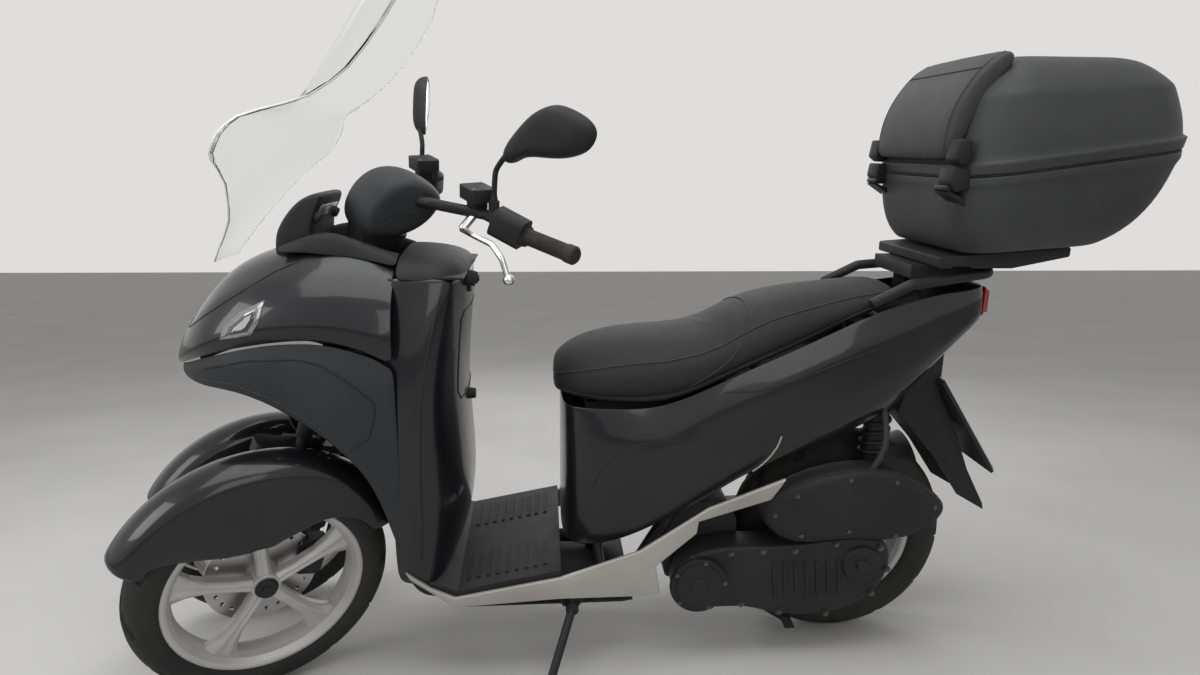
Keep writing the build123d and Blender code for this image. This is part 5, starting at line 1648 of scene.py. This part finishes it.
class SCOOTER_OT_stage(bpy.types.Operator):
    """Set the floor, the lamps and the camera"""
    bl_idname = "scooter.stage"
    bl_label = "Stage"

    def execute(self, context):
        scene = context.scene
        view = scene.scooter_view
        bm = bmesh.new()
        bmesh.ops.create_grid(bm, x_segments=1, y_segments=1, size=30)
        floor = linked("pale_floor", mesh_of("pale_floor", bm), "pale_floor")

        world = bpy.data.worlds.new("studio")
        scene.world = world
        world.use_nodes = True
        tree = world.node_tree
        tree.nodes.clear()
        out = tree.nodes.new("ShaderNodeOutputWorld")
        mix = tree.nodes.new("ShaderNodeMixShader")
        soft = wired(tree, "Background", Color=(0.8, 0.8, 0.8, 1), Strength=0.34)
        plain = wired(tree, "Background", Color=(0.82, 0.81, 0.80, 1), Strength=0.9)
        path = tree.nodes.new("ShaderNodeLightPath")
        seen = path.outputs["Is Camera Ray"]
        for ray in ("Is Transmission Ray", "Is Glossy Ray"):
            either = tree.nodes.new("ShaderNodeMath")
            either.operation = "MAXIMUM"
            tree.links.new(seen, either.inputs[0])
            tree.links.new(path.outputs[ray], either.inputs[1])
            seen = either.outputs["Value"]
        tree.links.new(seen, mix.inputs["Fac"])
        tree.links.new(soft.outputs["Background"], mix.inputs[1])
        tree.links.new(plain.outputs["Background"], mix.inputs[2])
        tree.links.new(mix.outputs["Shader"], out.inputs["Surface"])

        for name, place, aim, power, size in (
            ("roof_lamp", (0.2, 0.6, 3.4), (0.1, 0, 0.5), 66, 3.0),
            ("front_lamp", (3.2, 1.6, 1.9), (0.3, 0, 0.6), 34, 1.6),
            ("near_lamp", (-0.8, 3.6, 2.1), (0, 0, 0.6), 22, 2.0),
            ("far_lamp", (-0.5, -3.2, 2.4), (0, 0, 0.6), 20, 2.0),
        ):
            lamp = bpy.data.lights.new(name, "AREA")
            lamp.energy = power
            lamp.size = size
            holder = bpy.data.objects.new(name, lamp)
            holder.location = place
            holder.rotation_euler = (Vector(aim) - Vector(place)).to_track_quat("-Z", "Y").to_euler()
            scene.collection.objects.link(holder)

        camera = bpy.data.cameras.new("camera")
        camera.sensor_fit = "HORIZONTAL"
        camera.sensor_width = 36
        camera.lens = view.lens
        camera.clip_start = 0.05
        holder = bpy.data.objects.new("camera", camera)
        aim = Vector((
            -math.sin(view.yaw) * math.cos(view.pitch),
            -math.cos(view.yaw) * math.cos(view.pitch),
            -math.sin(view.pitch),
        ))
        holder.location = view.place
        holder.rotation_euler = aim.to_track_quat("-Z", "Y").to_euler()
        scene.collection.objects.link(holder)
        scene.camera = holder
        scene.view_settings.view_transform = "Standard"
        return {"FINISHED"}


STEPS = (
    SCOOTER_OT_finishes,
    SCOOTER_OT_front_shells,
    SCOOTER_OT_side_covers,
    SCOOTER_OT_windscreen,
    SCOOTER_OT_wheels,
    SCOOTER_OT_fenders,
    SCOOTER_OT_castings,
    SCOOTER_OT_seat,
    SCOOTER_OT_back_pad,
    SCOOTER_OT_top_box,
    SCOOTER_OT_leg_shield,
    SCOOTER_OT_dash_trims,
    SCOOTER_OT_controls,
    SCOOTER_OT_drive_details,
    SCOOTER_OT_front_lines,
    SCOOTER_OT_lamps,
    SCOOTER_OT_stage,
)


class SCOOTER_PT_panel(bpy.types.Panel):
    """List the steps that dress the scooter"""
    bl_idname = "SCOOTER_PT_panel"
    bl_label = "Scooter"
    bl_space_type = "VIEW_3D"
    bl_region_type = "UI"
    bl_category = "Scooter"

    def draw(self, context):
        for step in STEPS:
            self.layout.operator(step.bl_idname)


CLASSES = (ScooterLook, ScooterView, *STEPS, SCOOTER_PT_panel)


def register():
    for one in CLASSES:
        bpy.utils.register_class(one)
    bpy.types.Scene.scooter_look = bpy.props.PointerProperty(type=ScooterLook)
    bpy.types.Scene.scooter_view = bpy.props.PointerProperty(type=ScooterView)


def unregister():
    del bpy.types.Scene.scooter_view
    del bpy.types.Scene.scooter_look
    for one in reversed(CLASSES):
        bpy.utils.unregister_class(one)


def main():
    register()
    for step in STEPS:
        group, name = step.bl_idname.split(".")
        getattr(getattr(bpy.ops, group), name)()


if __name__ == "__main__":
    main()
